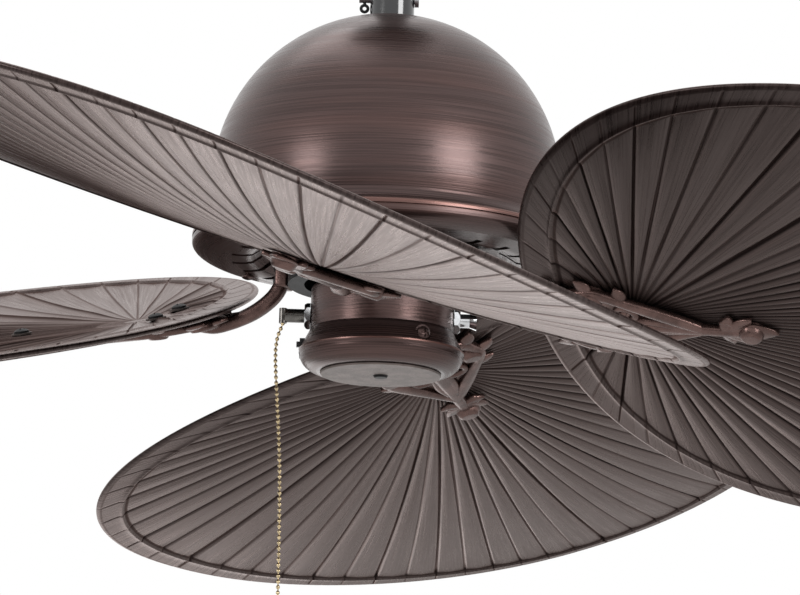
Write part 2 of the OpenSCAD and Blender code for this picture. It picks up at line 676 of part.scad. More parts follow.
module leaf() {
    rings = len(leaf_rings);
    n = rim_steps;
    half = rings * n;
    meet = [rib_meet_r, 0, blade_rise(rib_meet_r, 0)];
    points = concat(
        [for (side = [1, -1]) each [for (r = leaf_rings) each [for (i = [0:n - 1]) leaf_point(i, r, side)]]],
        [meet + [0, 0, leaf_t / 2], meet - [0, 0, leaf_t / 2]]);
    function next(i) = (i + 1) % n;
    top = [for (r = [0:rings - 2]) each [for (i = [0:n - 1]) each [
        [r * n + i, (r + 1) * n + next(i), (r + 1) * n + i],
        [r * n + i, r * n + next(i), (r + 1) * n + next(i)]]]];
    low = [for (f = top) [f[0] + half, f[2] + half, f[1] + half]];
    edge = [for (i = [0:n - 1]) each [
        [(rings - 1) * n + i, (rings - 1) * n + next(i), half + (rings - 1) * n + next(i)],
        [(rings - 1) * n + i, half + (rings - 1) * n + next(i), half + (rings - 1) * n + i]]];
    fans = [for (i = [0:n - 1]) each [[2 * half, next(i), i], [2 * half + 1, half + i, half + next(i)]]];
    polyhedron(points, concat(top, low, edge, fans), convexity = 6);
}

// Slope of the middle surface along the blade
function blade_slope(x) = 2 * blade_bend * (x - blade_mid) / 10000;

module at_blade_screws() {
    for (p = blade_screws_at) translate([p[0], p[1], blade_rise(p[0], p[1])])
        rotate([0, -atan(blade_slope(p[0])), 0]) children();
}

module blade(k) color(leaf_brown) at_hub() at_blade(k) in_blade_frame() difference() {
    leaf();
    at_blade_screws() cylinder(r = m5 + hole_gap, h = 30, center = true);
}
module blade_1() blade(1);
module blade_2() blade(2);
module blade_3() blade(3);
module blade_4() blade(4);

// ---- blade irons ----
iron_screw_h = [fly_top_h - 4.8, fly_low_h + 4.8];
module at_iron_screws() {
    for (k = [1:4]) at_blade(k) for (h = iron_screw_h)
        translate([flywheel_r, 0, h]) rotate([0, 90, 0]) children();
}

// The spine goes on from the neck, just under the blade, and lower where it passes the hem
hem_inner = 108;
hem_room = hem_t / 2 - leaf_t / 2;
pleat_room = 0.65 * pleat_h;          // the pleats are lower where the iron passes
function under_blade(x) =
    blade_rise(x, 0) - leaf_t / 2 - free_gap - pleat_room - (x < hem_inner ? hem_room : 0);
function blade_to_hub(p) =
    let (y1 = p[1] * cos(blade_pitch) + p[2] * sin(blade_pitch),
        z1 = p[2] * cos(blade_pitch) - p[1] * sin(blade_pitch))
    [p[0] * cos(blade_droop) + z1 * sin(blade_droop), y1,
        z1 * cos(blade_droop) - p[0] * sin(blade_droop) - blade_drop];
spine_steps = 9;
spine_start = 101;
// Thickness and width of the spine, which thins towards its end
function spine_t(f) = blend_value(neck_t, 5.4, f);
function spine_w(f) = blend_value(neck_w, 7.5, f);
spine_path = [for (i = [0:spine_steps]) let (f = i / spine_steps, x = blend_value(spine_start, spine_end, f))
    blade_to_hub([x, 0, under_blade(x) - spine_t(f) / 2 - (x < 112 ? (112 - x) * 0.12 : 0)])];
iron_path = concat([for (p = neck_path) [p[0], 0, p[1]]], spine_path);
neck_count = len(neck_path);
function section_size(i) = i < neck_count ? [neck_w, neck_t]
    : [spine_w((i - neck_count) / spine_steps), spine_t((i - neck_count) / spine_steps)];
function section_turn(i) =
    let (start = leg_x + leg_t)
    blade_pitch * min(1, max(0, (iron_path[i][0] - start) / (neck_turn_r - start)));
section_sides = 12;

module iron_spine() {
    n = section_sides;
    count = len(iron_path);
    points = [for (i = [0:count - 1])
        let (d = unit(iron_path[min(i + 1, count - 1)] - iron_path[max(i - 1, 0)]),
            turn = section_turn(i), level = [0, 1, 0],
            across = unit(cos(turn) * level - sin(turn) * cross(d, level)),
            up = cross(d, across), size = section_size(i))
        each [for (j = [0:n - 1]) let (a = 360 * (j + 0.5) / n)
            iron_path[i] + across * size[0] / 2 * signed_power(cos(a), 0.75)
                + up * size[1] / 2 * signed_power(sin(a), 0.75)]];
    sides = [for (i = [0:count - 2]) each [for (j = [0:n - 1]) let (k = (j + 1) % n) each [
        [i * n + j, (i + 1) * n + k, i * n + k], [i * n + j, (i + 1) * n + j, (i + 1) * n + k]]]];
    polyhedron(points, concat(sides, [[for (j = [0:n - 1]) j]],
        [[for (j = [n - 1:-1:0]) (count - 1) * n + j]]));
}

// The pad's plan: a leaf drawn by one arc and two straight sides to a point
pad_tip = 196;
function pad_leaf(inset) =
    let (r = pad_half_w - inset, tip = pad_tip - 1.6 * inset, a = acos(r / (tip - pad_wide_at)))
    concat(arc(pad_wide_at, 0, r, r, a, 360 - a, 40), [[tip, 0]]);
scroll_r = 8.5;
spot_r = 4.4;                         // the screws' spot faces on the legs and on the cap
spot_depth = 0.3;

module pad_plan() {
    difference() {
        polygon(pad_leaf(0));
        polygon(pad_leaf(pad_bar));
    }
    for (s = [-1, 1]) {
        translate([pad_wide_at + 18, s * (scroll_r + 2.4)]) difference() {
            circle(r = scroll_r);
            circle(r = scroll_r - 4);
        }
        translate([pad_wide_at + 1, s * (pad_half_w - 7)]) circle(r = boss_end_r);
        translate([pad_wide_at + 1, 0]) rotate([0, 0, s * 90])
            translate([0, -2.2]) square([pad_half_w - 8, 4.4]);
    }
    translate([spine_end, 0]) circle(r = boss_end_r);
}

module iron_pad() {
    xs = [90, hem_inner - eps, hem_inner, for (i = [1:9]) hem_inner + 14 * i];
    intersection() {
        translate([0, 0, -60]) linear_extrude(120) pad_plan();
        translate([0, 60, 0]) rotate([90, 0, 0]) linear_extrude(120) polygon(concat(
            [for (x = xs) [x, under_blade(x)]], flip([for (x = xs) [x, under_blade(x) - pad_t]])));
    }
}

module iron(k) color(iron_bronze) at_hub() at_blade(k) difference() {
    union() {
        translate([leg_x - 3, -leg_w / 2, fly_low_h + 0.5])
            cube([leg_t + 3, leg_w, fly_top_h - fly_low_h - 0.5]);
        iron_spine();
        in_blade_frame() iron_pad();
    }
    translate([0, 0, fly_low_h - 30]) cylinder(r = leg_x, h = flywheel_h + 60, $fn = 120);
    for (h = iron_screw_h) translate([leg_x, 0, h]) rotate([0, 90, 0]) {
        cylinder(r = m5 + hole_gap, h = 30, center = true);
        translate([0, 0, leg_t - spot_depth]) cylinder(r = spot_r, h = 10);
    }
    in_blade_frame() at_blade_screws() cylinder(r = m5 + screw_gap, h = 30, center = true);
}
module iron_1() iron(1);
module iron_2() iron(2);
module iron_3() iron(3);
module iron_4() iron(4);

module iron_screws() color(dark_steel) at_hub() for (k = [1:4]) at_blade(k) for (h = iron_screw_h)
    translate([leg_x + leg_t - spot_depth + seat, 0, h]) rotate([0, 90, 0])
        pan_screw(m5, leg_t + 6, spot_r - 0.5, 2.8);

washer_t = 1;
washer_r = 6;
washer_rise = leaf_t / 2 + pleat_h / 2 + 0.2;

module blade_screws() color(dark_steel) at_hub() for (k = [1:4]) at_blade(k) in_blade_frame()
    at_blade_screws() translate([0, 0, washer_rise + washer_t + seat]) pan_screw(m5, 9, 4.4, 2.6);

module blade_washers() color("#3a2f2c") at_hub() for (k = [1:4]) at_blade(k) in_blade_frame()
    at_blade_screws() translate([0, 0, washer_rise]) ring(washer_r, m5 + hole_gap, 0, washer_t);

// ---- switch housing ----
module switch_housing() color(bronze) at_hub() difference() {
    rotate_extrude($fn = 120) polygon(concat(
        [[shaft_r + seat, housing_top_h - housing_wall], [shaft_r + seat, housing_top_h]],
        arc(housing_r - 2, housing_top_h - 2, 2, 2, 90, 0, 5),
        [[housing_r, housing_low_h], [spigot_r, housing_low_h], [spigot_r, spigot_low_h],
            [spigot_r - spigot_t, spigot_low_h], [spigot_r - spigot_t, spigot_top_h - 2],
            [housing_r - housing_wall, spigot_top_h],
            [housing_r - housing_wall, housing_top_h - housing_wall]]));
    for (a = [0, 180]) rotate([0, 0, a]) translate([30, 0, outlet_h])
        rotate([0, 90, 0]) cylinder(r = outlet_r + hole_gap + 0.1, h = 20);
    at_cap_screws() cylinder(r = m4 + screw_gap, h = 14, center = true);
    translate([-cap_r - 10, -bezel_w / 2 - free_gap, spigot_low_h - 1])
        cube([22, bezel_w + 2 * free_gap, reverse_h + bezel_h / 2 + free_gap - spigot_low_h + 1]);
}

module at_cap_screws() {
    for (a = [0, 180]) rotate([0, 0, cap_screw_angle + a]) translate([cap_screw_r, 0, cap_screw_h])
        rotate([0, 90, 0]) children();
}

// The cap goes round the housing's spigot: a flare out to a sharp bead, a rounded side in to the flat
cap_side_r = cap_r - 0.4 - cap_flat_r;
function cap_side(inset) =
    arc(cap_flat_r, bead_low_h, cap_side_r - inset, bead_low_h - cap_low_h - inset, -90, -6, 11);
function cap_flare(inset) = [[cap_r - 0.5 - inset, cap_wide_h], [housing_r - inset, cap_joint_h]];

// The cap without its cavity, between the plug's hole and the outer face
module cap_block() rotate_extrude($fn = 120) polygon(concat([[plug_hole_r, cap_low_h]], cap_side(0),
    [[cap_r, bead_low_h + 0.3], [cap_r, cap_wide_h]], cap_flare(0), [[plug_hole_r, cap_joint_h]]));

module switch_cap() color(bronze) at_hub() difference() {
    union() {
        difference() {
            cap_block();
            rotate_extrude($fn = 120) polygon(concat([[0, cap_low_h + housing_wall]],
                cap_side(housing_wall), cap_flare(housing_wall),
                [[housing_r - housing_wall, cap_joint_h + 1], [0, cap_joint_h + 1]]));
        }
        cap_bosses(cap_screw_r - spigot_r - free_gap);
        intersection() {
            cap_bosses(cap_r - spigot_r);
            cap_block();
        }
    }
    at_cap_screws() cylinder(r = spot_r, h = 10);
    at_cap_screws() cylinder(r = m4 + hole_gap, h = 14, center = true);
    translate([-cap_r - 10, -bezel_w / 2 - 0.2, reverse_h - bezel_h / 2 - 0.2])
        cube([22, bezel_w + 0.4, bezel_h + 0.4]);
}

module cap_bosses(length)
    at_cap_screws() translate([0, 0, spigot_r + free_gap - cap_screw_r]) cylinder(r = cap_boss_r, h = length);

bezel_w = 9;
bezel_h = 10.4;

module cap_screws() color(bronze) at_hub() at_cap_screws()
    translate([0, 0, seat]) pan_screw(m4, 7.2, spot_r - 0.3, 2.4);

module cap_plate() color(bronze) at_hub() rotate_extrude($fn = 96) polygon([[plug_hole_r, cap_low_h],
    [cap_flat_r - 0.8, cap_low_h], [cap_flat_r - 0.3, cap_low_h - 0.5], [cap_flat_r - 0.9, plate_low_h],
    [plug_hole_r, plate_low_h]]);

module cap_plug() color(dark_steel) at_hub() {
    translate([0, 0, plate_low_h - 1.2]) cylinder(r1 = plug_hole_r, r2 = plug_hole_r + 0.8, h = 1.2);
    translate([0, 0, plate_low_h - eps])
        cylinder(r = plug_hole_r - 0.2, h = cap_plate_t + housing_wall + 1.5);
}

switch_w = 19;
switch_back = 17;
switch_front = housing_r - housing_wall - 3.4;

module pull_switch() color("#2b2b2e") at_hub() {
    translate([-switch_front, -switch_w / 2, outlet_h - 10.5])
        cube([switch_front - switch_back, switch_w, 17.5]);
    translate([-switch_front - 6.6, 0, outlet_h]) rotate([0, 90, 0]) difference() {
        cylinder(r = outlet_r, h = 6.7);
        translate([0, 0, -1]) cylinder(r = chain_bore_r, h = 5);
    }
}

nut_x = housing_r + 0.1;
nut_t = 3.4;
barrel_x = switch_front + 6.8;
horn_reach = outlet_reach - 3;

module chain_outlet_left() color(dark_steel) at_hub() difference() {
    union() {
        translate([-outlet_reach + 1.2, 0, outlet_h]) rotate([0, 90, 0])
            cylinder(r = outlet_r, h = outlet_reach - 1.2 - barrel_x);
        translate([-outlet_reach, 0, outlet_h - 4.6]) cylinder(r = spout_r, h = spout_top_h - outlet_h + 4.6);
    }
    translate([-outlet_reach, 0, outlet_h - 6])
        cylinder(r = chain_bore_r, h = chain_top_h + free_gap - outlet_h + 6);
}

module chain_outlet_right() color(zinc) at_hub() {
    inner = housing_r - housing_wall - 3;
    translate([0, 0, outlet_h]) rotate([0, 90, 0]) rotate_extrude($fn = 48) polygon([
        [1.8, inner], [5.2, inner], [5.2, inner + 2.4], [outlet_r, inner + 2.4], [outlet_r, horn_reach - 4],
        [outlet_r + 1.6, horn_reach], [outlet_r + 0.8, horn_reach], [1.8, horn_reach - 4]]);
}

module outlet_nuts() color("#e8eaee") at_hub() for (a = [0, 180]) rotate([0, 0, a])
    translate([nut_x, 0, outlet_h]) rotate([0, 90, 0]) intersection() {
        hex_nut(13.4, outlet_r + seat, nut_t);
        cylinder(r1 = 9, r2 = 6.7, h = nut_t + 0.01);
    }

knob_h = 3;
knob_top_h = reverse_h + (knob_travel + knob_h) / 2;

module reverse_switch() color("#232326") at_hub() difference() {
    translate([-bezel_x, -bezel_w / 2, reverse_h - bezel_h / 2]) cube([9.5, bezel_w, bezel_h]);
    translate([-bezel_x - 1, -1.7, knob_top_h - knob_h - knob_travel - 0.3])
        cube([4, 3.4, knob_h + knob_travel + 0.6]);
}

module reverse_knob() color("#3a3a3e") at_hub()
    translate([-bezel_x - 1.9, -1.4, knob_top_h - knob_h]) cube([4.6, 2.8, knob_h]);

module capacitor() color("#3b3d42") at_hub()
    translate([-21, 5, cap_low_h + housing_wall + 0.2]) cube([42, 19, 18]);

// ---- pull chain ----
cord_sides = 8;
module chain_tube(path, d) {
    n = cord_sides;
    count = len(path);
    points = [for (i = [0:count - 1])
        let (t = unit(path[min(i + 1, count - 1)] - path[max(i - 1, 0)]), side = [0, 1, 0],
            up = cross(t, side), r = d / 2)
        each [for (j = [0:n - 1]) path[i] + r * (side * cos(360 * j / n) + up * sin(360 * j / n))]];
    sides = [for (i = [0:count - 2]) each [for (j = [0:n - 1]) let (k = (j + 1) % n) each [
        [i * n + j, (i + 1) * n + k, i * n + k], [i * n + j, (i + 1) * n + j, (i + 1) * n + k]]]];
    polyhedron(points, concat(sides, [[for (j = [0:n - 1]) j]],
        [[for (j = [n - 1:-1:0]) (count - 1) * n + j]]));
}

module at_chain() {
    at_hub() translate([-outlet_reach, 0, chain_top_h]) children();
}

module pull_chain() color(brass) at_chain() chain_tube(chain_route, chain_d);

module chain_fob() color(brass) at_chain() translate(chain_end) rotate_extrude($fn = 48) polygon(concat(
    [[0, -18], [2.2, -18]], arc(1.6, -13, 3, 5, -75, 60, 8), [[1.5, -4], [1.5, 0], [0, 0]]));

hanger_bracket();
canopy();
canopy_screws();
hanger_ball();
ball_pin();
downrod();
rod_pin();
hairpin_clip();
motor_stem();
crown_flange();
dome_nuts();
dome();
lower_bowl();
bowl_screws();
motor_shaft();
shaft_circlip();
shaft_nut();
stator_core();
stator_windings();
bearing_inner_races();
bearing_outer_races();
bearing_balls();
rotor_upper_bell();
rotor_lower_bell();
rotor_ring();
flywheel();
flywheel_bolts();
iron_1();
iron_2();
iron_3();
iron_4();
iron_screws();
blade_1();
blade_2();
blade_3();
blade_4();
blade_screws();
blade_washers();
switch_housing();
switch_cap();
cap_screws();
cap_plate();
cap_plug();
pull_switch();
chain_outlet_left();
chain_outlet_right();
outlet_nuts();
reverse_switch();
reverse_knob();
capacitor();
pull_chain();
chain_fob();
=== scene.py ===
"""Looks of a ceiling fan with pleated leaf blades, laid out as a Blender add-on.

Metres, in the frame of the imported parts: the origin is at the ceiling and +Z is up.
Each operator makes one piece, or one group of like pieces, and a last one makes the stage.
"""

import math

import bpy
import numpy as np
from bpy.props import FloatProperty, FloatVectorProperty, IntProperty, PointerProperty
from mathutils import Matrix, Vector


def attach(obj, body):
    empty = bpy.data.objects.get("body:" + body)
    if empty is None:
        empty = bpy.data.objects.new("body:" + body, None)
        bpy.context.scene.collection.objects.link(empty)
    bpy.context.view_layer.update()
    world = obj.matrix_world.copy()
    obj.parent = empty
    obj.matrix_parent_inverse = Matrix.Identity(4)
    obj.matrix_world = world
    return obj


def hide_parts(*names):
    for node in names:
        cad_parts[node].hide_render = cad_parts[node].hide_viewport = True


bl_info = {
    "name": "Leaf Blade Ceiling Fan",
    "version": (1, 0, 0),
    "blender": (4, 5, 0),
    "location": "3D View > Sidebar > Fan",
    "description": "Dresses a ceiling fan with pleated leaf blades, cast irons and a ball chain",
    "category": "Add Mesh",
}

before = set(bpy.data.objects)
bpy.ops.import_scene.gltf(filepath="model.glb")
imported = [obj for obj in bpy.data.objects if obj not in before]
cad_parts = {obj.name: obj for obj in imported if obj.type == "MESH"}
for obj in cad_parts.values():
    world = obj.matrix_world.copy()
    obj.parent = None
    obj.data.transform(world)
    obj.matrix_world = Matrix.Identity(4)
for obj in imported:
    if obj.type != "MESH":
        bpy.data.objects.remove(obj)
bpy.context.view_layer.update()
MM = 0.001


def length(name, text, default):
    """A size in metres."""
    return FloatProperty(name=name, description=text, default=default, unit="LENGTH", precision=5)


def turn(name, text, degrees):
    """An angle, stored in radians."""
    value = math.radians(degrees)
    return FloatProperty(name=name, description=text, default=value, unit="ROTATION")


def ratio(name, text, default):
    """A plain number."""
    return FloatProperty(name=name, description=text, default=default)


def colour(name, text, default):
    """A linear RGB colour."""
    return FloatVectorProperty(
        name=name, description=text, default=default, subtype="COLOR", size=3, min=0, max=1
    )


class FanSizes(bpy.types.PropertyGroup):
    """Sizes of the dressed pieces, which match the solids they stand for."""

    hub_depth: length("Hub depth", "Depth of the hub plane", 0.320)
    tip_radius: length("Tip radius", "Radius swept by the blade tips", 0.660)
    root_radius: length("Root radius", "Radius of the blades' hub end", 0.0874)
    half_width: length("Half width", "Half width of a blade at its middle", 0.2365)
    egg: ratio("Egg", "How much broader the hub side is", 0.33)
    squareness: ratio("Squareness", "Power of the outline, where 2 is an ellipse", 2.19)
    rib_meet: length("Ribs meet", "Radius at which the ribs meet", 0.147)
    rib_count: IntProperty(name="Ribs", description="Number of ribs in a blade", default=56)
    patch_radius: length("Patch radius", "Radius of the smooth patch there", 0.024)
    pleat: length("Pleat", "Height of a pleat from the middle surface", 0.0013)
    leaf_thickness: length("Leaf", "Thickness of the leaf", 0.0024)
    hem_width: length("Hem width", "Width of the hem round the blade", 0.015)
    hem_root: length("Hem at the root", "How much wider it is at the hub end", 0.005)
    hem_thickness: length("Hem thickness", "Thickness of the hem", 0.0046)
    pitch: turn("Pitch", "Pitch of the blades", 17.83)
    droop: turn("Droop", "Droop of the blades towards the tip", 2.77)
    drop: length("Drop", "Depth of their middle line under the hub", 0.0494)
    cup: ratio("Cup", "Rise of the long edges, in mm at 100 mm out", 1.5)
    bend: ratio("Bend", "Rise of the ends, in mm at 100 mm out", 1.6)
    first_blade: turn("First blade", "Direction of the first blade, from above", -104.35)
    chain_reach: length("Chain reach", "Distance of the chain from the axis", 0.0576)
    chain_top: length("Chain top", "Depth of its top under the hub", 0.0453)
    ball: length("Ball", "Diameter of the chain's balls", 0.0024)
    ball_pitch: length("Ball pitch", "Distance from ball to ball", 0.0032)
    link: length("Link", "Diameter of the wire between two balls", 0.0009)
    flywheel: length("Flywheel", "Radius of the flywheel at the irons", 0.05565)
    leg_width: length("Leg width", "Width of an iron's leg", 0.017)
    leg_depth: length("Leg depth", "Thickness of an iron's leg", 0.008)
    neck_width: length("Neck width", "Width of an iron's neck", 0.011)
    neck_height: length("Neck height", "Thickness of an iron's neck", 0.0084)
    pad_middle: length("Pad middle", "Radius where an iron's pad is widest", 0.127)
    pad_half: length("Pad half width", "Half width of an iron's pad", 0.033)
    pad_tip: length("Pad tip", "Radius of the pad's point", 0.196)
    spine_end: length("Spine end", "Radius of the spine's end screw", 0.218)


class FanColours(bpy.types.PropertyGroup):
    """Base colours of the finishes, linear."""

    bronze: colour("Bronze", "Oil-rubbed bronze of the housing", (0.074, 0.0465, 0.0435))
    copper_rub: colour("Rubbed edge", "Copper where it is rubbed", (0.215, 0.108, 0.090))
    leaf: colour("Leaf", "Brown of the blades", (0.034, 0.0225, 0.0205))
    # Colour of the painted shade in the rib grooves and inside the welt, and of the turn-in line
    rib: colour("Rib", "Dark line of the ribs", (0.011, 0.007, 0.0068))
    hem: colour("Hem", "Hem of the blades", (0.034, 0.0225, 0.0210))
    iron: colour("Iron", "Cast blade irons", (0.130, 0.080, 0.071))
    plate: colour("Plate", "Pale plate under the cap", (0.156, 0.126, 0.116))
    black: colour("Black", "Gloss black of the rod", (0.010, 0.010, 0.011))
    nickel: colour("Nickel", "Bright nuts", (0.80, 0.81, 0.83))
    brass: colour("Brass", "Ball chain", (0.72, 0.58, 0.36))
    zinc: colour("Zinc", "Plated steel", (0.62, 0.63, 0.65))
    wire: colour("Wire", "Enamelled copper windings", (0.55, 0.22, 0.09))
    nylon: colour("Nylon", "Hanger ball", (0.78, 0.76, 0.70))
    fibre: colour("Fibre", "Washers of the blades", (0.06, 0.045, 0.04))
    oxide: colour("Black oxide", "Flywheel, stem and screws", (0.012, 0.0115, 0.012))
    dark_nickel: colour("Antique nickel", "Left outlet", (0.17, 0.16, 0.15))
    cast: colour("Cast zinc", "Rotor bells and crown flange", (0.42, 0.43, 0.45))


# ---- places ----
def rotation(angle, axis):
    """A turn about X, Y or Z."""
    return np.array(Matrix.Rotation(angle, 3, axis))


def hub_to_row(points, sizes, number):
    """Points round the hub, drawn for a blade along X, to that blade's place in the row frame."""
    turned_by = sizes.first_blade + math.radians(90) * (number - 1)
    return points @ rotation(turned_by, "Z").T - [0, 0, sizes.hub_depth]


def blade_to_hub(points, sizes):
    """Blade points, x out along it and y across: pitched about its line, drooped and let down."""
    place = rotation(sizes.droop, "Y") @ rotation(-sizes.pitch, "X")
    return points @ place.T - [0, 0, sizes.drop]


def blade_rise(x, y, sizes):
    """Height of the leaf's middle surface: a parabola along the blade plus one across it."""
    middle = (sizes.tip_radius + sizes.root_radius) / 2
    return MM * (sizes.bend * ((x - middle) / 0.1) ** 2 + sizes.cup * (y / 0.1) ** 2)


# ---- meshes ----
def grid_quads(rows, columns, first=0, inward=False):
    """Quads of a grid of vertices, row after row, whose columns close round."""
    r, c = np.meshgrid(np.arange(rows - 1), np.arange(columns), indexing="ij")
    here, ahead, n = r * columns, (r + 1) * columns, (c + 1) % columns
    quads = np.stack([here + c, ahead + c, ahead + n, here + n], -1).reshape(-1, 4) + first
    return quads[:, ::-1] if inward else quads


def fan_triangles(ring, pole, inward=False):
    """Triangles from a ring of vertices to one pole."""
    tris = np.stack([np.full(len(ring), pole), ring, np.roll(ring, -1)], -1)
    return tris[:, ::-1] if inward else tris


def new_object(name, data):
    """An object that holds the data, in the scene."""
    made = bpy.data.objects.new(name, data)
    bpy.context.scene.collection.objects.link(made)
    return made


def make_piece(name, vertices, faces, material, body):
    """A smooth mesh object at the origin, with its place in its vertices, riding on a body."""
    mesh = bpy.data.meshes.new(name)
    mesh.from_pydata(vertices.tolist(), [], [f for part in faces for f in part.tolist()])
    mesh.polygons.foreach_set("use_smooth", [True] * len(mesh.polygons))
    mesh.validate()
    mesh.update()
    mesh.materials.append(material)
    piece = new_object(name, mesh)
    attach(piece, body)
    return piece


def unit(vectors):
    """Vectors brought to a length of one."""
    return vectors / np.linalg.norm(vectors, axis=-1, keepdims=True)


def bell(x, width):
    """A bell curve: e to the power of minus the square of x over its width."""
    return np.exp(-((x / width) ** 2))


def superellipse(angle, power):
    """Cosine and sine of an angle, each raised to a power with its sign kept."""
    return tuple(np.sign(v) * np.abs(v) ** power for v in (np.cos(angle), np.sin(angle)))


def sweep(centres, ups, widths, heights, sides=20, power=1.0, closed=False):
    """Tube along a path: each ring is a superellipse, its width across and its height along up.

    Returns vertices and faces. An open tube gets a pole at each end, and a closed one joins up.
    """
    centres, count = np.asarray(centres, float), len(centres)
    if closed:
        ahead, behind = np.roll(centres, -1, 0), np.roll(centres, 1, 0)
    else:
        ahead = np.vstack([centres[1:], centres[-1:]])
        behind = np.vstack([centres[:1], centres[:-1]])
    along = unit(ahead - behind)
    across = unit(np.cross(ups, along))
    up = np.cross(along, across)
    c, s = superellipse(2 * np.pi * (np.arange(sides) + 0.5) / sides, power)
    w, h = (np.broadcast_to(size, count)[:, None, None] / 2 for size in (widths, heights))
    rings = centres[:, None] + across[:, None] * (w * c[:, None]) + up[:, None] * (h * s[:, None])
    vertices = rings.reshape(-1, 3)
    if closed:
        return vertices, [grid_quads(count + 1, sides, inward=True) % len(vertices)]
    faces = [
        grid_quads(count, sides, inward=True),
        fan_triangles(np.arange(sides), len(vertices), inward=True),
        fan_triangles((count - 1) * sides + np.arange(sides), len(vertices) + 1),
    ]
    return np.vstack([vertices, centres[:1], centres[-1:]]), faces


def join_parts(parts):
    """Several vertex and face lists as one."""
    vertices, faces, start = [], [], 0
    for v, f in parts:
        vertices.append(v)
        faces += [part + start for part in f]
        start += len(v)
    return np.vstack(vertices), faces


def smooth_path(points, steps):
    """Points on a Catmull-Rom curve through the given points, evenly in the curve's own step."""
    p = np.asarray(points, float)
    p = np.vstack([2 * p[0] - p[1], p, 2 * p[-1] - p[-2]])
    t = np.linspace(0, len(p) - 3, steps)
    i = np.minimum(t.astype(int), len(p) - 4)
    f = (t - i)[:, None]
    a, b, c, d = p[i], p[i + 1], p[i + 2], p[i + 3]
    return 0.5 * (
        2 * b + (c - a) * f + (2 * a - 5 * b + 4 * c - d) * f**2 + (3 * b - a - 3 * c + d) * f**3
    )


# ---- node helpers ----
class Graph:
    """Short words for building a node tree."""

    def __init__(self, tree):
        self.tree = tree
        self.nodes = tree.nodes
        self.links = tree.links

    def add(self, kind, *values, **settings):
        """A node, with its settings and the values of its first sockets."""
        made = self.nodes.new(kind)
        for name, value in settings.items():
            setattr(made, name, value)
        for socket, value in zip(made.inputs, values):
            self.feed(socket, value)
        return made

    def feed(self, socket, value):
        """Links a socket to another, or sets its value."""
        if isinstance(value, bpy.types.NodeSocket):
            self.links.new(value, socket)
        else:
            socket.default_value = value

    def maths(self, operation, *values, clamp=False):
        """A Math node's result."""
        return self.add("ShaderNodeMath", *values, operation=operation, use_clamp=clamp).outputs[0]

    def times(self, a, b):
        """One value times another."""
        return self.maths("MULTIPLY", a, b)

    def fill(self, inputs, values):
        """Feeds inputs by name, with underlines for spaces."""
        for name, value in values.items():
            self.feed(inputs[name.replace("_", " ")], value)

    def paint(self, **sockets):
        """Feeds the Principled shader's sockets. Returns the material."""
        self.fill(self.nodes["Principled BSDF"].inputs, sockets)
        return self.material

    def band(self, value, middle, outer, inner):
        """A mask round a level: 1 within the inner distance and 0 beyond the outer one."""
        off = self.maths("ABSOLUTE", self.maths("SUBTRACT", value, middle))
        return self.span(off, outer, inner)

    def span(self, value, low, high, to_low=0.0, to_high=1.0):
        """A value carried smoothly from one range to another, clamped."""
        made = self.add("ShaderNodeMapRange", value, low, high, to_low, to_high)
        made.interpolation_type = "SMOOTHSTEP"
        return made.outputs[0]

    def mix(self, factor, a, b):
        """Two colours, mixed."""
        made = self.add("ShaderNodeMix", data_type="RGBA")
        self.feed(made.inputs["Factor"], factor)
        for socket, item in zip(made.inputs[6:8], (a, b)):
            self.feed(socket, (*item, 1) if isinstance(item, tuple) else item)
        return made.outputs[2]

    def noise(self, vector, scale, detail, rough):
        """A noise value from 0 to 1."""
        made = self.add("ShaderNodeTexNoise")
        self.fill(made.inputs, dict(Vector=vector, Scale=scale, Detail=detail, Roughness=rough))
        return made.outputs["Fac"]

    def vector(self, x, y, z):
        """A vector from three values."""
        return self.add("ShaderNodeCombineXYZ", x, y, z).outputs[0]

    def split(self, vector):
        """The three values of a vector."""
        return self.add("ShaderNodeSeparateXYZ", vector).outputs

    def place(self):
        """The piece's own coordinates, in metres."""
        return self.add("ShaderNodeTexCoord").outputs["Object"]

    def attribute(self, name):
        """A number that the mesh carries."""
        return self.add("ShaderNodeAttribute", attribute_name=name).outputs["Fac"]

    def bump(self, height, strength, distance):
        """A normal, from a height."""
        made = self.add("ShaderNodeBump", strength, distance)
        self.feed(made.inputs["Height"], height)
        return made.outputs[0]

    def group(self, tree, **values):
        """A group node, with its inputs fed by name."""
        made = self.add("ShaderNodeGroup", node_tree=tree)
        self.fill(made.inputs, values)
        return made.outputs


def new_group(name, number, *outputs):
    """A shader node group that takes a place and a number. Returns its graph and sockets."""
    tree = bpy.data.node_groups.new(name, "ShaderNodeTree")
    new_socket = tree.interface.new_socket
    new_socket("Place", in_out="INPUT", socket_type="NodeSocketVector")
    new_socket(number, in_out="INPUT", socket_type="NodeSocketFloat")
    for label in outputs:
        new_socket(label, in_out="OUTPUT", socket_type="NodeSocketFloat")
    graph = Graph(tree)
    return graph, graph.add("NodeGroupInput").outputs, graph.add("NodeGroupOutput").inputs


def brushing_group():
    """Fine brushed lines round the fan's axis: noise that is stretched along the turn."""
    g, given, out = new_group("Brushed lines", "Fineness", "Lines", "Cloud")
    x, y, z = g.split(given["Place"])
    fine = g.vector(g.times(x, 9.0), g.times(y, 9.0), g.times(z, given["Fineness"]))
    broad = g.vector(g.times(x, 7.0), g.times(y, 7.0), g.times(z, 90.0))
    g.feed(out["Lines"], g.span(g.noise(fine, 1.0, 4.0, 0.62), 0.36, 0.66))
    g.feed(out["Cloud"], g.span(g.noise(broad, 1.0, 3.0, 0.55), 0.38, 0.66))
    return g.tree


def mottle_group():
    """Soft blotches and fine grain, for cast and painted finishes."""
    g, given, out = new_group("Mottle", "Size", "Blotch", "Grain")
    blotch = g.noise(given["Place"], given["Size"], 3.0, 0.55)
    g.feed(out["Blotch"], g.span(blotch, 0.38, 0.64))
    g.feed(out["Grain"], g.noise(given["Place"], g.times(given["Size"], 14.0), 3.0, 0.6))
    return g.tree


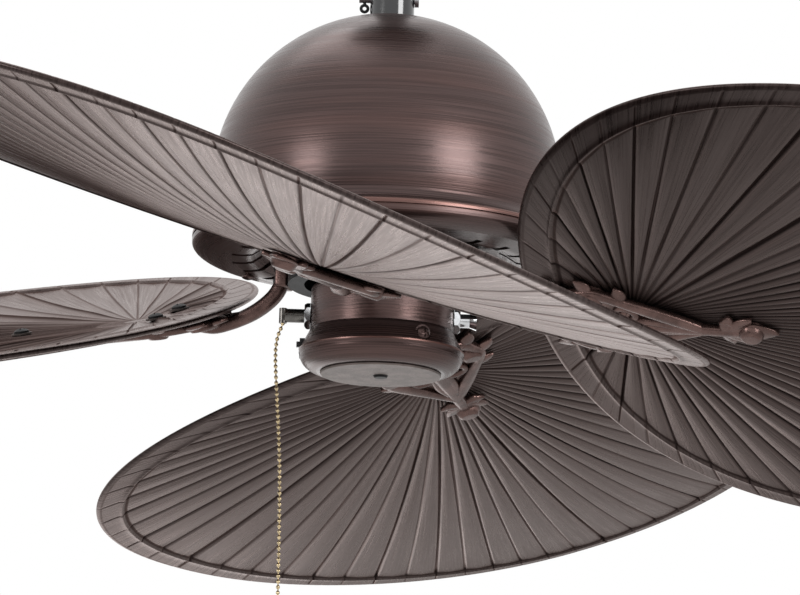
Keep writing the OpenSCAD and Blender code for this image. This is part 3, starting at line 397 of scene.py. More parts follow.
def new_material(name):
    """The graph of a new material."""
    material = bpy.data.materials.new(name)
    material.use_nodes = True
    graph = Graph(material.node_tree)
    graph.material = material
    return graph


def shade(colour_value, factor):
    """A colour made darker or lighter."""
    return tuple(min(1.0, c * factor) for c in colour_value)


# Finishes of one kind: label, darkest and lightest share of the colour, metallic, least and
# greatest roughness, strength and distance of the bump, size of the mottle
METAL = (0.82, 1.08), 1.0
GRAINED = {
    "plate": ("Brushed plate", (0.8, 1.12), 0.8, (0.42, 0.58), (0.15, 0.0001), 110.0),
    "black": ("Gloss black", (0.8, 1.3), 0.0, (0.1, 0.17), None, 40.0),
    "oxide": ("Black oxide", (0.7, 1.5), 0.4, (0.45, 0.62), (0.2, 0.0001), 120.0),
    "nickel": ("Bright nickel", *METAL, (0.08, 0.16), (0.04, 0.00008), 140.0),
    "dark_nickel": ("Antique nickel", *METAL, (0.22, 0.36), (0.1, 0.00008), 140.0),
    "brass": ("Pale brass", *METAL, (0.16, 0.3), (0.08, 0.00008), 400.0),
    "zinc": ("Zinc plate", *METAL, (0.3, 0.44), (0.1, 0.00008), 140.0),
    "cast": ("Cast zinc", *METAL, (0.45, 0.6), (0.35, 0.00008), 90.0),
    "nylon": ("Moulded nylon", (0.93, 1.0), 0.0, (0.42, 0.56), (0.1, 0.0001), 70.0),
    "fibre": ("Pressed fibre", (0.7, 1.4), 0.0, (0.7, 0.9), (0.3, 0.0001), 200.0),
}
# What some of them add
ALSO = {
    "black": {"Coat_Weight": 0.7, "Coat_Roughness": 0.05},
    "oxide": {"Specular_IOR_Level": 0.3},
}


class Finishes:
    """Every material of the fan, each built on its first use."""

    def __init__(self, colours):
        self.colours = colours
        self.brushing = brushing_group()
        self.mottle = mottle_group()
        self.made = {}

    def get(self, name):
        """The material of that name: by its own method, or from the table."""
        if name not in self.made:
            own = getattr(self, name, None)
            self.made[name] = own() if own else self.grained(name)
        return self.made[name]

    def base(self, name):
        """A base colour."""
        return tuple(getattr(self.colours, name))

    def mottled(self, g, size):
        """Blotches and grain at the piece's own coordinates."""
        return g.group(self.mottle, Place=g.place(), Size=size)

    def grained(self, name):
        """A finish from the table: soft blotches in its colour and a fine grain in its gloss."""
        label, (dark, light), metallic, rough, bump, size = GRAINED[name]
        g, base = new_material(label), self.base(name)
        blotch, grain = self.mottled(g, size)
        if bump:
            g.paint(Normal=g.bump(grain, *bump))
        return g.paint(
            Base_Color=g.mix(blotch, shade(base, dark), shade(base, light)),
            Metallic=metallic,
            Roughness=g.span(grain, 0.3, 0.7, *rough),
            **ALSO.get(name, {}),
        )

    def bronze(self):
        """Oil-rubbed bronze: dark brown, brushed round the axis, with copper in the lines."""
        g = new_material("Oil rubbed bronze")
        base, rub = self.base("bronze"), self.base("copper_rub")
        lines, cloud = g.group(self.brushing, Place=g.place(), Fineness=1300.0)
        tone = g.mix(lines, shade(base, 0.74), shade(base, 1.2))
        tone = g.mix(g.times(cloud, 0.2), tone, shade(rub, 0.75))
        depth_mm = g.times(g.split(g.place())[2], 1000.0)
        lip = g.band(depth_mm, -322.3, 3.0, 1.2)
        bead = g.band(depth_mm, -388.8, 0.9, 0.36)
        worn = g.times(g.maths("MAXIMUM", lip, bead), g.span(lines, 0.0, 1.0, 0.35, 0.9))
        return g.paint(
            Base_Color=g.mix(worn, tone, rub),
            Metallic=0.75, Coat_Weight=0.12, Coat_Roughness=0.32,
            Roughness=g.span(lines, 0.0, 1.0, 0.24, 0.36),
            Normal=g.bump(lines, 0.2, 0.0001),
        )

    def iron(self):
        """Cast bronze irons: satin, with soft darker and lighter blotches, and rubbed in places.
        """
        g = new_material("Cast iron bronze")
        base = self.base("iron")
        blotch, grain = self.mottled(g, 85.0)
        tone = g.mix(blotch, shade(base, 0.75), shade(base, 1.2))
        return g.paint(
            Base_Color=g.mix(g.span(grain, 0.52, 0.75, 0.0, 0.3), tone, self.base("copper_rub")),
            Metallic=0.85,
            Roughness=g.span(grain, 0.3, 0.7, 0.22, 0.38),
            Normal=g.bump(grain, 0.3, 0.0002),
        )

    def leaf(self):
        """Pleated leaf: brown panels with a fine grain along the ribs, painted shade in the rib
        grooves and inside the welt, and a painted highlight beside each rib.
        """
        g = new_material("Pleated leaf")
        base, hem = self.base("leaf"), self.base("hem")
        strand, run, rib_off, weight, beside, hem_share = (g.attribute(a) for a in LEAF_VALUES)
        fine = g.vector(g.times(strand, 11.0), g.times(run, 12.0), 0.0)
        broad = g.vector(g.times(strand, 1.1), g.times(run, 7.0), 3.0)
        fibres, cloud = g.noise(fine, 1.0, 5.0, 0.62), g.noise(broad, 1.0, 2.0, 0.5)
        tone = g.mix(g.span(fibres, 0.34, 0.66), shade(base, 0.66), shade(base, 1.3))
        tone = g.mix(g.span(cloud, 0.35, 0.65, 0.0, 0.35), tone, shade(base, 1.5))
        # Painted highlight: a pale streak beside each rib, where a fold would catch the light
        tone = g.mix(g.times(beside, 0.45), tone, shade(base, 2.4))
        on_hem = g.mix(g.span(fibres, 0.35, 0.65), shade(hem, 0.7), shade(hem, 1.3))
        tone = g.mix(g.span(hem_share, 1.0, 0.95), tone, on_hem)
        # Painted shade in the rib grooves: the rib colour along each rib, fainter on the hem.
        # Where this dark mask is strong, metallic and roughness go up and the coat thins.
        line = g.times(g.span(rib_off, 0.0015, 0.0003), weight)
        line = g.times(line, g.span(hem_share, 0.12, 0.3, 0.25, 0.9))
        # Painted shade along the inner side of the welt, where its own shadow falls
        welt_shade = g.band(hem_share, 1.17, 0.10, 0.03)
        turn_in = g.band(hem_share, 0.16, 0.06, 0.02)
        dark = g.maths("MAXIMUM", line, g.times(welt_shade, 0.8))
        dark = g.maths("MAXIMUM", dark, g.times(turn_in, 0.4))
        dull = g.span(fibres, 0.3, 0.7, 0.22, 0.42)
        gloss = g.times(g.maths("SUBTRACT", 1.0, dark), g.span(fibres, 0.3, 0.7, 0.05, 0.3))
        height = g.maths("ADD", g.times(fibres, 0.5), g.times(line, -0.5))
        return g.paint(
            Base_Color=g.mix(dark, tone, self.base("rib")),
            Metallic=g.span(dark, 0.0, 1.0, 0.5, 0.9),
            Roughness=g.maths("ADD", dull, g.times(dark, 0.28), clamp=True),
            Specular_IOR_Level=0.28, Specular_Tint=(1.0, 0.80, 0.75, 1), Coat_Roughness=0.3,
            Coat_Weight=g.times(gloss, g.span(cloud, 0.3, 0.7, 0.6, 1.0)),
            Normal=g.bump(height, 0.8, 0.0005),
        )

    def core(self):
        """Stacked steel sheets: fine lines one above the other."""
        g = new_material("Stacked sheets")
        line = g.maths("PINGPONG", g.times(g.split(g.place())[2], 2000.0), 0.5)
        return g.paint(
            Base_Color=g.mix(g.span(line, 0.05, 0.3), (0.09, 0.09, 0.095), (0.33, 0.33, 0.35)),
            Metallic=0.9,
            Roughness=g.span(line, 0.0, 0.4, 0.6, 0.38),
        )

    def windings(self):
        """Enamelled wire, wound turn beside turn, with painted shade in the grooves between turns.
        """
        g = new_material("Enamelled wire")
        base = self.base("wire")
        squares = [g.maths("POWER", value, 2.0) for value in g.split(g.place())[:2]]
        radius = g.maths("SQRT", g.maths("ADD", *squares))
        wire = g.maths("PINGPONG", g.times(radius, 1250.0), 0.5)
        return g.paint(
            # Painted shade: the wire darkens towards the grooves between turns
            Base_Color=g.mix(g.span(wire, 0.0, 0.35), shade(base, 0.35), base),
            Metallic=0.7,
            Roughness=g.span(wire, 0.0, 0.5, 0.5, 0.28),
            Normal=g.bump(wire, 0.6, 0.0003),
        )

    def plastic(self):
        """Moulded black plastic of the switches."""
        g = new_material("Moulded black")
        blotch, grain = self.mottled(g, 160.0)
        return g.paint(
            Base_Color=g.mix(blotch, (0.014, 0.014, 0.015), (0.026, 0.025, 0.026)),
            Roughness=g.span(grain, 0.3, 0.7, 0.4, 0.58),
            Normal=g.bump(grain, 0.15, 0.0001),
        )


NODE_FINISH = {
    "bronze": ("canopy", "canopy_screws", "dome", "lower_bowl", "bowl_screws", "switch_housing",
               "switch_cap", "cap_screws"),
    "oxide": ("motor_stem", "hairpin_clip", "shaft_circlip", "flywheel", "iron_screws",
              "blade_screws", "cap_plug"),
    "zinc": ("hanger_bracket", "ball_pin", "rod_pin", "dome_nuts", "motor_shaft", "shaft_nut",
             "flywheel_bolts", "bearing_inner_races", "bearing_outer_races", "bearing_balls"),
    "cast": ("crown_flange", "rotor_upper_bell", "rotor_lower_bell"),
    "core": ("stator_core", "rotor_ring"),
    "windings": ("stator_windings",),
    "nylon": ("hanger_ball",),
    "black": ("downrod",),
    "plate": ("cap_plate",),
    "plastic": ("pull_switch", "reverse_switch", "reverse_knob", "capacitor"),
    "dark_nickel": ("chain_outlet_left",),
    "nickel": ("chain_outlet_right", "outlet_nuts"),
    "brass": ("chain_fob",),
    "fibre": ("blade_washers",),
}

_finishes = {}


def finishes():
    """The materials, built on the first call."""
    if not _finishes:
        _finishes["all"] = Finishes(bpy.context.scene.fan_colours)
    return _finishes["all"]


# ---- blades ----
# Where points stand between one rib and the next: close together at the rib
RIB_PHASES = np.array([0.0, 0.03, 0.07, 0.12, 0.2, 0.34, 0.5, 0.66, 0.8, 0.88, 0.93, 0.97])
# Rows of points: shares of the patch's radius, of the panel, and of the hem's width from the rim
PATCH_ROWS = (0.35, 0.7, 1.0)
PANEL_ROWS = np.concatenate([np.linspace(0.02, 0.9, 20), [0.95, 0.985, 1.0]])
HEM_ROWS = (1.22, 1.16, 1.11, 1.06, 1.02, 0.98, 0.93, 0.88, 0.8, 0.6, 0.4, 0.22, 0.14, 0.08,
            0.035, 0.01)
PANEL_END = 1.26  # where the panel ends, in widths of the hem from the rim
LEAST_SLANT = 0.45  # least share of a step along a rib that counts towards the rim
WEAK_RIB = 0.62  # depth of every second rib
WAVE, GROOVE = 0.42, 1.15  # heights of the soft wave and of a rib's groove, in pleats
GROOVE_WIDTH = 0.001
STITCH, STITCH_WIDTH = 0.00022, 0.0009  # depth and width of a rib's mark in the hem
WELT, WELT_WIDTH = 0.0015, 0.0014  # height and width of the welt
HIGHLIGHT_OFF, HIGHLIGHT_WIDTH = 0.0024, 0.0011  # distance and width of the painted highlight beside a rib
# The values that a leaf's material reads, with what each is at the two poles
LEAF_VALUES = {
    "strand": 0.0, "run": 0.0, "rib_off": 0.01, "rib_weight": 0.0, "beside": 0.0, "hem_share": 20.0
}


def rib_strength(count):
    """How deep each rib is pressed: strong and weak in turn, and none quite like the next."""
    rib = np.arange(count)
    uneven = 1 + 0.18 * np.sin(rib * 2.4 + 1) + 0.12 * np.sin(rib * 5.1)
    return np.where(rib % 2 == 0, 1.0, WEAK_RIB) * uneven


def rim_outline(angle, sizes):
    """Outline of the leaf: a superellipse whose width grows by a share towards the hub."""
    half = (sizes.tip_radius - sizes.root_radius) / 2
    middle = (sizes.tip_radius + sizes.root_radius) / 2
    c, s = superellipse(angle, 2 / sizes.squareness)
    return np.stack([middle + half * c, sizes.half_width * s * (1 - sizes.egg * c)], -1)


def leaf_surface(sizes):
    """The blade as rings from the point where its ribs meet out to its rim.

    A point runs straight from the meeting point to the rim. Its height is the blade's rise
    plus a soft wave from rib to rib, which flattens outwards, plus a narrow groove on each
    rib, a bell curve of its distance. Both die away in the smooth patch and under the hem.
    The wall's half thickness is the leaf's, swells in a rounded welt at the hem's inner edge
    and closes in a half round at the rim.
    """
    strand = (np.arange(sizes.rib_count)[:, None] + RIB_PHASES).ravel()
    angle = 2 * np.pi * strand / sizes.rib_count
    rim = rim_outline(angle, sizes)
    step = 1e-4
    tangent = unit(rim_outline(angle + step, sizes) - rim_outline(angle - step, sizes))
    meet = np.array([sizes.rib_meet, 0.0])
    ray = rim - meet
    reach = np.linalg.norm(ray, axis=1)
    ray /= reach[:, None]
    slant = np.abs(ray[:, 0] * tangent[:, 1] - ray[:, 1] * tangent[:, 0])
    slant = np.maximum(LEAST_SLANT, slant)
    patch = sizes.patch_radius
    hem = sizes.hem_width + sizes.hem_root * np.clip(-np.cos(angle), 0, 1) ** 2
    hem_start = reach - PANEL_END * hem / slant
    rows = [np.full_like(reach, share * patch) for share in PATCH_ROWS]
    rows += [patch + (hem_start - patch) * share for share in PANEL_ROWS]
    rows += [reach - share * hem / slant for share in HEM_ROWS]
    along = np.array(rows)
    rim_off = (reach - along) * slant
    xy = meet + along[..., None] * ray
    phase = strand % 1.0
    girth = np.linalg.norm(rim - np.roll(rim, 1, 0), axis=1).sum()
    width = girth / sizes.rib_count * along / reach
    off = np.where(phase <= 0.5, phase, phase - 1) * width
    nearest = np.round(strand).astype(int) % sizes.rib_count
    strength = rib_strength(sizes.rib_count)[nearest]
    share = np.clip((along - patch) / (reach - patch), 0, 1)
    grow = np.clip(share / 0.3, 0, 1)
    grow = grow * grow * (3 - 2 * grow)
    fade = np.clip((rim_off / hem - 1.0) / 0.25, 0, 1)
    wave = WAVE * np.cos(2 * np.pi * phase) * (1 - 0.6 * share)
    groove = GROOVE * strength * bell(off, GROOVE_WIDTH) * np.clip(width / 0.009, 0.2, 1)
    pleat = sizes.pleat * (0.3 * (along > patch) + 0.7 * grow) * fade * (wave + groove)
    middle = blade_rise(xy[..., 0], xy[..., 1], sizes) + pleat
    into_hem = np.clip((hem - rim_off) / (0.12 * hem), 0, 1)
    thicker = (sizes.hem_thickness - sizes.leaf_thickness) * into_hem * 0.45
    half = (sizes.leaf_thickness + thicker) / 2 + WELT * bell(rim_off - hem, WELT_WIDTH)
    stitch = bell(off, STITCH_WIDTH) * into_hem * np.clip(rim_off / (0.3 * hem), 0, 1)
    edge = np.clip(rim_off / (0.16 * hem), 0, 1)
    half = (half - STITCH * stitch) * np.sqrt(1 - (1 - edge) ** 2)
    lift = np.stack([np.zeros_like(half), np.zeros_like(half), half], -1)
    surface = np.concatenate([xy, middle[..., None]], -1)
    rim_rise = blade_rise(rim[:, 0], rim[:, 1], sizes)
    return {
        "top": surface + lift,
        "low": surface - lift,
        "rim": np.concatenate([rim, rim_rise[:, None]], -1),
        "strand": np.broadcast_to(strand, along.shape),
        "run": along,
        "rib_off": np.abs(off),
        "rib_weight": np.broadcast_to(strength, along.shape),
        # Mask of the painted highlight beside each rib
        "beside": bell(off - HIGHLIGHT_OFF, HIGHLIGHT_WIDTH) * strength * grow,
        "hem_share": rim_off / hem,
    }


def leaf_mesh(sizes, number):
    """Vertices, faces and values of one blade, closed at its rim and at its two poles."""
    s = leaf_surface(sizes)
    rows, count = s["run"].shape
    rise = float(blade_rise(np.array(sizes.rib_meet), np.array(0.0), sizes))
    half_thick = sizes.leaf_thickness / 2
    poles = np.array([[sizes.rib_meet, 0, rise + half] for half in (half_thick, -half_thick)])
    points = np.vstack([s["top"].reshape(-1, 3), s["rim"], s["low"].reshape(-1, 3), poles])
    ring = np.arange(count)
    low_first = (rows + 1) * count
    rim = rows * count + ring
    outer_low = low_first + (rows - 1) * count + ring
    top_pole, low_pole = len(points) - 2, len(points) - 1
    faces = [
        grid_quads(rows + 1, count),
        grid_quads(rows, count, first=low_first, inward=True),
        np.stack([rim, outer_low, np.roll(outer_low, -1), np.roll(rim, -1)], -1),
        fan_triangles(ring, top_pole),
        fan_triangles(low_first + ring, low_pole, inward=True),
    ]
    values = {}
    for name, at_pole in LEAF_VALUES.items():
        face = s[name].ravel()
        on_rim = np.zeros(count) if name == "hem_share" else s[name][-1]
        values[name] = np.concatenate([face, on_rim, face, [at_pole] * 2])
    return hub_to_row(blade_to_hub(points, sizes), sizes, number), faces, values


# ---- irons ----
# The neck's middle line, as radius and depth under the hub plane, in millimetres
NECK = ((60.2, -13), (60.2, -21), (61.6, -27.5), (65, -33.5), (70.5, -38.8), (77, -43.2),
        (84.5, -46.8), (92.5, -49.6))
SPINE_START = 0.101  # radius at which the neck becomes the spine
SPINE_WIDTH, SPINE_HEIGHT = 0.0068, 0.0054  # section at the spine's end
PAD_INSET, PAD_STEPS = 0.0034, 96  # how far the rim's middle line is set in, and its points
# Each scroll of a pad: centre from the pad's middle, starting turn, turns, outer and inner radius,
# points, the way it winds, two points of its stem, the stem's points, first and last thickness,
# and the radius and height of a boss in it
SCROLLS = (
    ((0.018, 0.0112), -1.9, 1.35, (0.0078, 0.0020), 44, 1,
     ((0.052, 0.0015), (0.036, 0.0046)), 14, (0.0062, 0.0036), (0.0030, 0.0046)),
    ((-0.012, 0.0145), 0.6, 1.1, (0.0068, 0.0018), 36, -1,
     ((-0.026, 0.0020), (-0.014, 0.0035)), 12, (0.0060, 0.0034), None),
)
# Leaves round the pad: turn from its widest place, length and lean
SIDE_LEAVES = ((0.0, 0.0130, 0.35), (0.6, 0.0140, 0.2), (-0.62, 0.0120, 0.5), (1.15, 0.0110, 0.1))
# Lobes of the palm leaf at the spine's end: turn from the spine, length and width
PALM_LOBES = ((0.0, 0.032, 0.0165), (0.55, 0.022, 0.0095), (-0.55, 0.022, 0.0095),
              (1.1, 0.015, 0.0085), (-1.1, 0.015, 0.0085))


def under_leaf(x, sizes):
    """Height of an iron's upper face along the blade: just under the pleats, lower at the hem."""
    gap, hem_end, hem_room = 0.0003, 0.108, 0.0012
    room = sizes.leaf_thickness / 2 + gap + 0.65 * sizes.pleat + hem_room * (x < hem_end)
    return blade_rise(x, np.zeros_like(x), sizes) - room


def bar(points, widths, heights, sizes, closed=False):
    """A bar laid on the plan points under the blade: a round section that follows its rise."""
    points = np.asarray(points, float)
    size = np.broadcast_to(heights, len(points))
    z = under_leaf(points[:, 0], sizes) - size / 2
    centres = np.column_stack([points, z])
    return sweep(centres, (0.0, 0.0, 1.0), widths, size, sides=14, power=0.85, closed=closed)


def spiral(centre, start, turns, outer, inner, steps, side):
    """Plan of a scroll: a spiral whose radius shrinks evenly with its turn."""
    f = np.linspace(0, 1, steps)
    angle = start + side * 2 * np.pi * turns * f
    radius = outer + (inner - outer) * f
    return np.asarray(centre) + radius[:, None] * np.stack([np.cos(angle), np.sin(angle)], -1)


def knob(centre, radius, height, sizes, flat=0.0):
    """A round boss under the blade: a half-ellipse profile with a flat, turned about its axis."""
    angle = np.pi / 2 * np.array([0.0, 0.25, 0.5, 0.7, 0.85, 0.94, 1.0])
    x, y = centre
    top = float(under_leaf(np.array([x]), sizes)[0])
    z = np.concatenate([[top + 1e-5], top - height * np.sin(angle)])
    wide = np.concatenate([[radius], radius * (flat + (1 - flat) * np.cos(angle))])
    centres = np.column_stack([np.full_like(z, x), np.full_like(z, y), z])
    return sweep(centres, (1.0, 0.0, 0.0), 2 * wide, 2 * wide, sides=24)


def lobe(foot, ways, reach, widths, heights, sizes):
    """A small cast leaf: a bar that goes on step by step along its turning way."""
    steps = np.stack([np.cos(ways), np.sin(ways)], -1) * reach / len(ways)
    return bar(np.array(foot) + np.cumsum(steps, 0), widths, heights, sizes)


def neck_and_spine(sizes):
    """The iron's neck and spine as one bar, in the hub's frame.

    Its middle line is a smooth curve down from the leg and out under the blade, and its
    section turns from level to the blade's pitch and gets slimmer towards the end.
    """
    neck = np.array([(r, 0.0, z) for r, z in NECK]) * MM
    x = np.linspace(SPINE_START, sizes.spine_end, 12)
    f = (x - x[0]) / (x[-1] - x[0])
    slimmer = SPINE_HEIGHT - sizes.neck_height
    z = under_leaf(x, sizes) - (sizes.neck_height + slimmer * f) / 2
    z -= np.where(x < 0.112, (0.112 - x) * 0.12, 0)
    spine = blade_to_hub(np.column_stack([x, np.zeros_like(x), z]), sizes)
    path = smooth_path(np.vstack([neck, spine]), 110)
    along = unit(np.gradient(path, axis=0))
    start, end = sizes.flywheel + sizes.leg_depth, 0.088
    turned = sizes.pitch * np.clip((path[:, 0] - start) / (end - start), 0, 1)
    level = np.array([0.0, 1.0, 0.0])
    across = np.cos(turned)[:, None] * level - np.sin(turned)[:, None] * np.cross(along, level)
    out = np.clip((path[:, 0] - SPINE_START) / (sizes.spine_end - SPINE_START), 0, 1)
    down = np.clip((path[:, 0] - 0.060) / 0.03, 0, 1)
    swell = 0.0016 * bell(path[:, 0] - 0.074, 0.012) * down
    width = sizes.neck_width + (SPINE_WIDTH - sizes.neck_width) * out**0.8 + swell
    height = sizes.neck_height + slimmer * out + 0.5 * swell
    return sweep(path, np.cross(along, across), width, height, sides=20, power=0.8)


def leg(sizes):
    """The iron's leg on the flywheel: an upright block with rounded edges, in the hub's frame."""
    z = np.array([-0.0120, -0.0123, -0.0132, -0.0150, -0.0270, -0.0282, -0.0291, -0.0295])
    inset = np.array([0.0012, 0.0006, 0.0001, 0.0, 0.0, 0.0002, 0.0007, 0.0014])
    centre = sizes.flywheel + 0.0001 + sizes.leg_depth / 2
    centres = np.column_stack([np.full_like(z, centre), np.zeros_like(z), z])
    width, depth = sizes.leg_width - inset, sizes.leg_depth - inset
    return sweep(centres, (1.0, 0.0, 0.0), width, depth, sides=28, power=0.3)


def pad_outline(sizes):
    """Plan of the pad's rim: a round end towards the hub, drawn out to a point on the spine."""
    r, tip = sizes.pad_half - PAD_INSET, sizes.pad_tip - 1.6 * PAD_INSET
    open_at = math.acos(r / (tip - sizes.pad_middle))
    angle = np.linspace(open_at, 2 * np.pi - open_at, PAD_STEPS)
    ring = np.stack([sizes.pad_middle + r * np.cos(angle), r * np.sin(angle)], -1)
    f = np.linspace(0, 1, 14)[1:-1, None]
    point = np.array([[tip, 0.0]])
    out, back = ring[-1] + (point - ring[-1]) * f, point + (ring[0] - point) * f
    return np.vstack([ring, out, point, back])


def pad_web(sizes):
    """Thin plate inside the pad's rim: rings drawn in from the outline to a point."""
    top_drop, low_drop = 0.0006, 0.0024
    centre = np.array([sizes.pad_middle + 0.008, 0.0])
    shares = np.array([1.0, 0.8, 0.6, 0.4, 0.2])
    plan = centre + shares[:, None, None] * (pad_outline(sizes) - centre)
    level = under_leaf(plan[..., 0], sizes)[..., None]
    top, low = (np.concatenate([plan, level - drop], -1) for drop in (top_drop, low_drop))
    middle = float(under_leaf(centre[:1], sizes)[0])
    poles = np.array([[*centre, middle - drop] for drop in (top_drop, low_drop)])
    rows, count = top.shape[:2]
    first, ring = rows * count, np.arange(count)
    after = np.roll(ring, -1)
    faces = [
        grid_quads(rows, count, inward=True),
        grid_quads(rows, count, first=first),
        fan_triangles(first - count + ring, 2 * first),
        fan_triangles(2 * first - count + ring, 2 * first + 1, inward=True),
        np.stack([ring, first + ring, first + after, after], -1),
    ]
    return np.vstack([top.reshape(-1, 3), low.reshape(-1, 3), poles]), faces


def pad_side(sizes, side):
    """Scrolls, arm, boss and leaves of the pad on one side of the spine."""
    middle, half = sizes.pad_middle, sizes.pad_half
    parts = []
    for at, start, turns, radii, steps, way, stem, stem_steps, thick, boss in SCROLLS:
        centre, *stem = ((middle + x, side * y) for x, y in (at, *stem))
        coil = spiral(centre, side * start, turns, *radii, steps, side * way)
        line = np.vstack([smooth_path([*stem, coil[0]], stem_steps)[:-1], coil])
        taper = np.linspace(*thick, len(line))
        parts.append(bar(line, taper, taper, sizes))
        if boss:
            parts.append(knob(centre, *boss, sizes))
    hand = (middle + 0.001, side * (half - 0.007))
    arm = smooth_path([(middle + 0.004, 0.0), (middle + 0.0005, side * 0.011), hand], 16)
    parts.append(bar(arm, np.linspace(0.0076, 0.0060, 16), 0.0060, sizes))
    parts.append(knob(hand, 0.0080, 0.0074, sizes, flat=0.55))
    f = np.linspace(0, 1, 12)
    width = 0.0088 * np.sin(np.pi * np.clip(0.22 + 0.78 * f, 0, 1)) + 0.0008
    for at, reach, lean in SIDE_LEAVES:
        angle, out = side * (math.pi / 2 + at), half - 0.003
        foot = middle + out * math.cos(angle), out * math.sin(angle)
        ways = angle + side * lean + side * 0.5 * f
        parts.append(lobe(foot, ways, reach, width, 0.0048 * (1 - 0.5 * f), sizes))
    return parts


def iron_mesh(sizes, number):
    """One blade iron: leg, neck and spine, the pad with its ornament, and the palm leaf."""
    rim = pad_outline(sizes)
    swell = 0.0078 + 0.0014 * np.cos(np.linspace(0, 14 * np.pi, len(rim)))
    parts = [pad_web(sizes), bar(rim, swell, 0.0062, sizes, closed=True)]
    parts += pad_side(sizes, -1) + pad_side(sizes, 1)
    end = sizes.spine_end
    parts.append(knob((end, 0.0), 0.0080, 0.0078, sizes, flat=0.55))
    for side in (-1, 1):
        tail = spiral((end - 0.014, side * 0.0062), -side * 1.2, 0.95, 0.0050, 0.0016, 28, side)
        width, height = np.linspace(0.0044, 0.0028, 28), np.linspace(0.0046, 0.0030, 28)
        parts.append(bar(tail, width, height, sizes))
    f = np.linspace(0, 1, 16)
    for angle, reach, wide in PALM_LOBES:
        width = wide * np.sin(np.pi * np.clip(0.12 + 0.88 * f, 0, 1)) ** 0.7 + 0.0006
        ways, height = angle * (1 + 0.35 * f), 0.0054 * (1 - 0.45 * f)
        parts.append(lobe((end - 0.016, 0.0), ways, reach, width, height, sizes))
    parts = [(blade_to_hub(points, sizes), faces) for points, faces in parts]
    points, faces = join_parts([neck_and_spine(sizes), leg(sizes), *parts])
    return hub_to_row(points, sizes, number), faces


# ---- chain ----
# The chain's route, from its top inside the outlet, in metres from there: out and down
CHAIN_ROUTE = (
    (0, 0), (0, -0.004), (0, -0.008), (-0.0008, -0.0105), (-0.002, -0.0135),
    (-0.003, -0.0175), (-0.0036, -0.023), (-0.0035, -0.030), (-0.0029, -0.039),
    (-0.002, -0.050), (-0.001, -0.062), (0, -0.075), (0.0009, -0.089), (0.0015, -0.104),
    (0.0019, -0.119), (0.0022, -0.134), (0.0024, -0.149), (0.0026, -0.163), (0.0026, -0.177),
)


def ball_chain(sizes):
    """A tube whose radius follows the balls: a sphere's at each pitch, and the wire's between.

    Returns the mesh, the chain's path and its length.
    """
    top = np.array([-sizes.chain_reach, 0, -sizes.hub_depth - sizes.chain_top])
    path = top + np.array([(x, 0, z) for x, z in CHAIN_ROUTE])
    legs = np.linalg.norm(np.diff(path, axis=0), axis=1)
    far = np.concatenate([[0], np.cumsum(legs)])
    balls = int(far[-1] / sizes.ball_pitch)
    pitch = far[-1] / balls
    radius, wire = sizes.ball / 2, sizes.link / 2
    bite = math.sqrt(radius**2 - wire**2)
    on_ball = np.array([-1.0, -0.9, -0.68, -0.36, 0.0, 0.36, 0.68, 0.9, 1.0]) * bite
    at = ((np.arange(balls)[:, None] + 0.5) * pitch + on_ball).ravel()
    tube = np.tile(np.sqrt(radius**2 - on_ball**2), balls)
    at = np.concatenate([[0.0], at, [far[-1]]])
    tube = np.concatenate([[wire], tube, [wire]])
    centres = np.stack([np.interp(at, far, path[:, i]) for i in range(3)], -1)
    tubes = sweep(centres, (0.0, 1.0, 0.0), 2 * tube, 2 * tube, sides=10)
    return tubes, path, float(far[-1])


# ---- operators ----
class FAN_OT_housing(bpy.types.Operator):
    """Gives the fan's rigid nodes their finishes"""

    bl_idname = "fan.finish_nodes"
    bl_label = "Finish the rigid parts"

    def execute(self, context):
        for finish, nodes in NODE_FINISH.items():
            for node in nodes:
                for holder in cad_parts[node].material_slots:
                    holder.material = finishes().get(finish)
        return {"FINISHED"}


class FAN_OT_blades(bpy.types.Operator):
    """Makes the four pleated blades"""

    bl_idname = "fan.blades"
    bl_label = "Blades"

    def execute(self, context):
        for number in range(1, 5):
            points, faces, values = leaf_mesh(context.scene.fan_sizes, number)
            piece = make_piece(f"leaf_{number}", points, faces, finishes().get("leaf"), "rotor")
            for name, each in values.items():
                layer = piece.data.attributes.new(name, "FLOAT", "POINT")
                layer.data.foreach_set("value", np.ascontiguousarray(each, np.float32))
            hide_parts(f"blade_{number}")
        return {"FINISHED"}


class FAN_OT_irons(bpy.types.Operator):
    """Makes the four cast blade irons"""

    bl_idname = "fan.irons"
    bl_label = "Blade irons"

    def execute(self, context):
        finish = finishes().get("iron")
        for number in range(1, 5):
            points, faces = iron_mesh(context.scene.fan_sizes, number)
            piece = make_piece(f"cast_iron_{number}", points, faces, finish, "rotor")
            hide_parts(f"iron_{number}")
        return {"FINISHED"}


class FAN_OT_chain(bpy.types.Operator):
    """Makes the pull chain"""

    bl_idname = "fan.chain"
    bl_label = "Pull chain"

    def execute(self, context):
        sizes = context.scene.fan_sizes
        (points, faces), path, length_m = ball_chain(sizes)
        piece = make_piece("ball_chain", points, faces, finishes().get("brass"), "chain")
        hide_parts("pull_chain")
        return {"FINISHED"}


# ---- stage ----
CAMERA_DISTANCE, CAMERA_LENS = 3.334, 257.9
BELOW, YAW, TILT, ROLL = (math.radians(angle) for angle in (12.35, 0.17, -0.60, 1.82))
# Soft lamps that face the hub: name, place from the hub, size and power
LAMPS = (
    ("Left window", (-2.35, -1.85, 0.3), 1.0, 24),
    ("Right window", (2.1, -2.08, 0.55), 1.3, 52),
    ("Back window", (-0.6, 2.9, -0.95), 1.5, 7.4),
    ("Top soft", (-0.4, 0.8, 2.6), 2.0, 20),
)
# Strength of the surroundings: as a light, and where the camera or a shiny surface looks
DIFFUSE_STRENGTH, SEEN_STRENGTH = 0.62, 1.0
FLOOR_HALF, FLOOR_LEVEL = 30.0, -2.6


def turned(first, second, angle):
    """Two axes turned in their plane by an angle."""
    c, s = math.cos(angle), math.sin(angle)
    return first * c + second * s, second * c - first * s


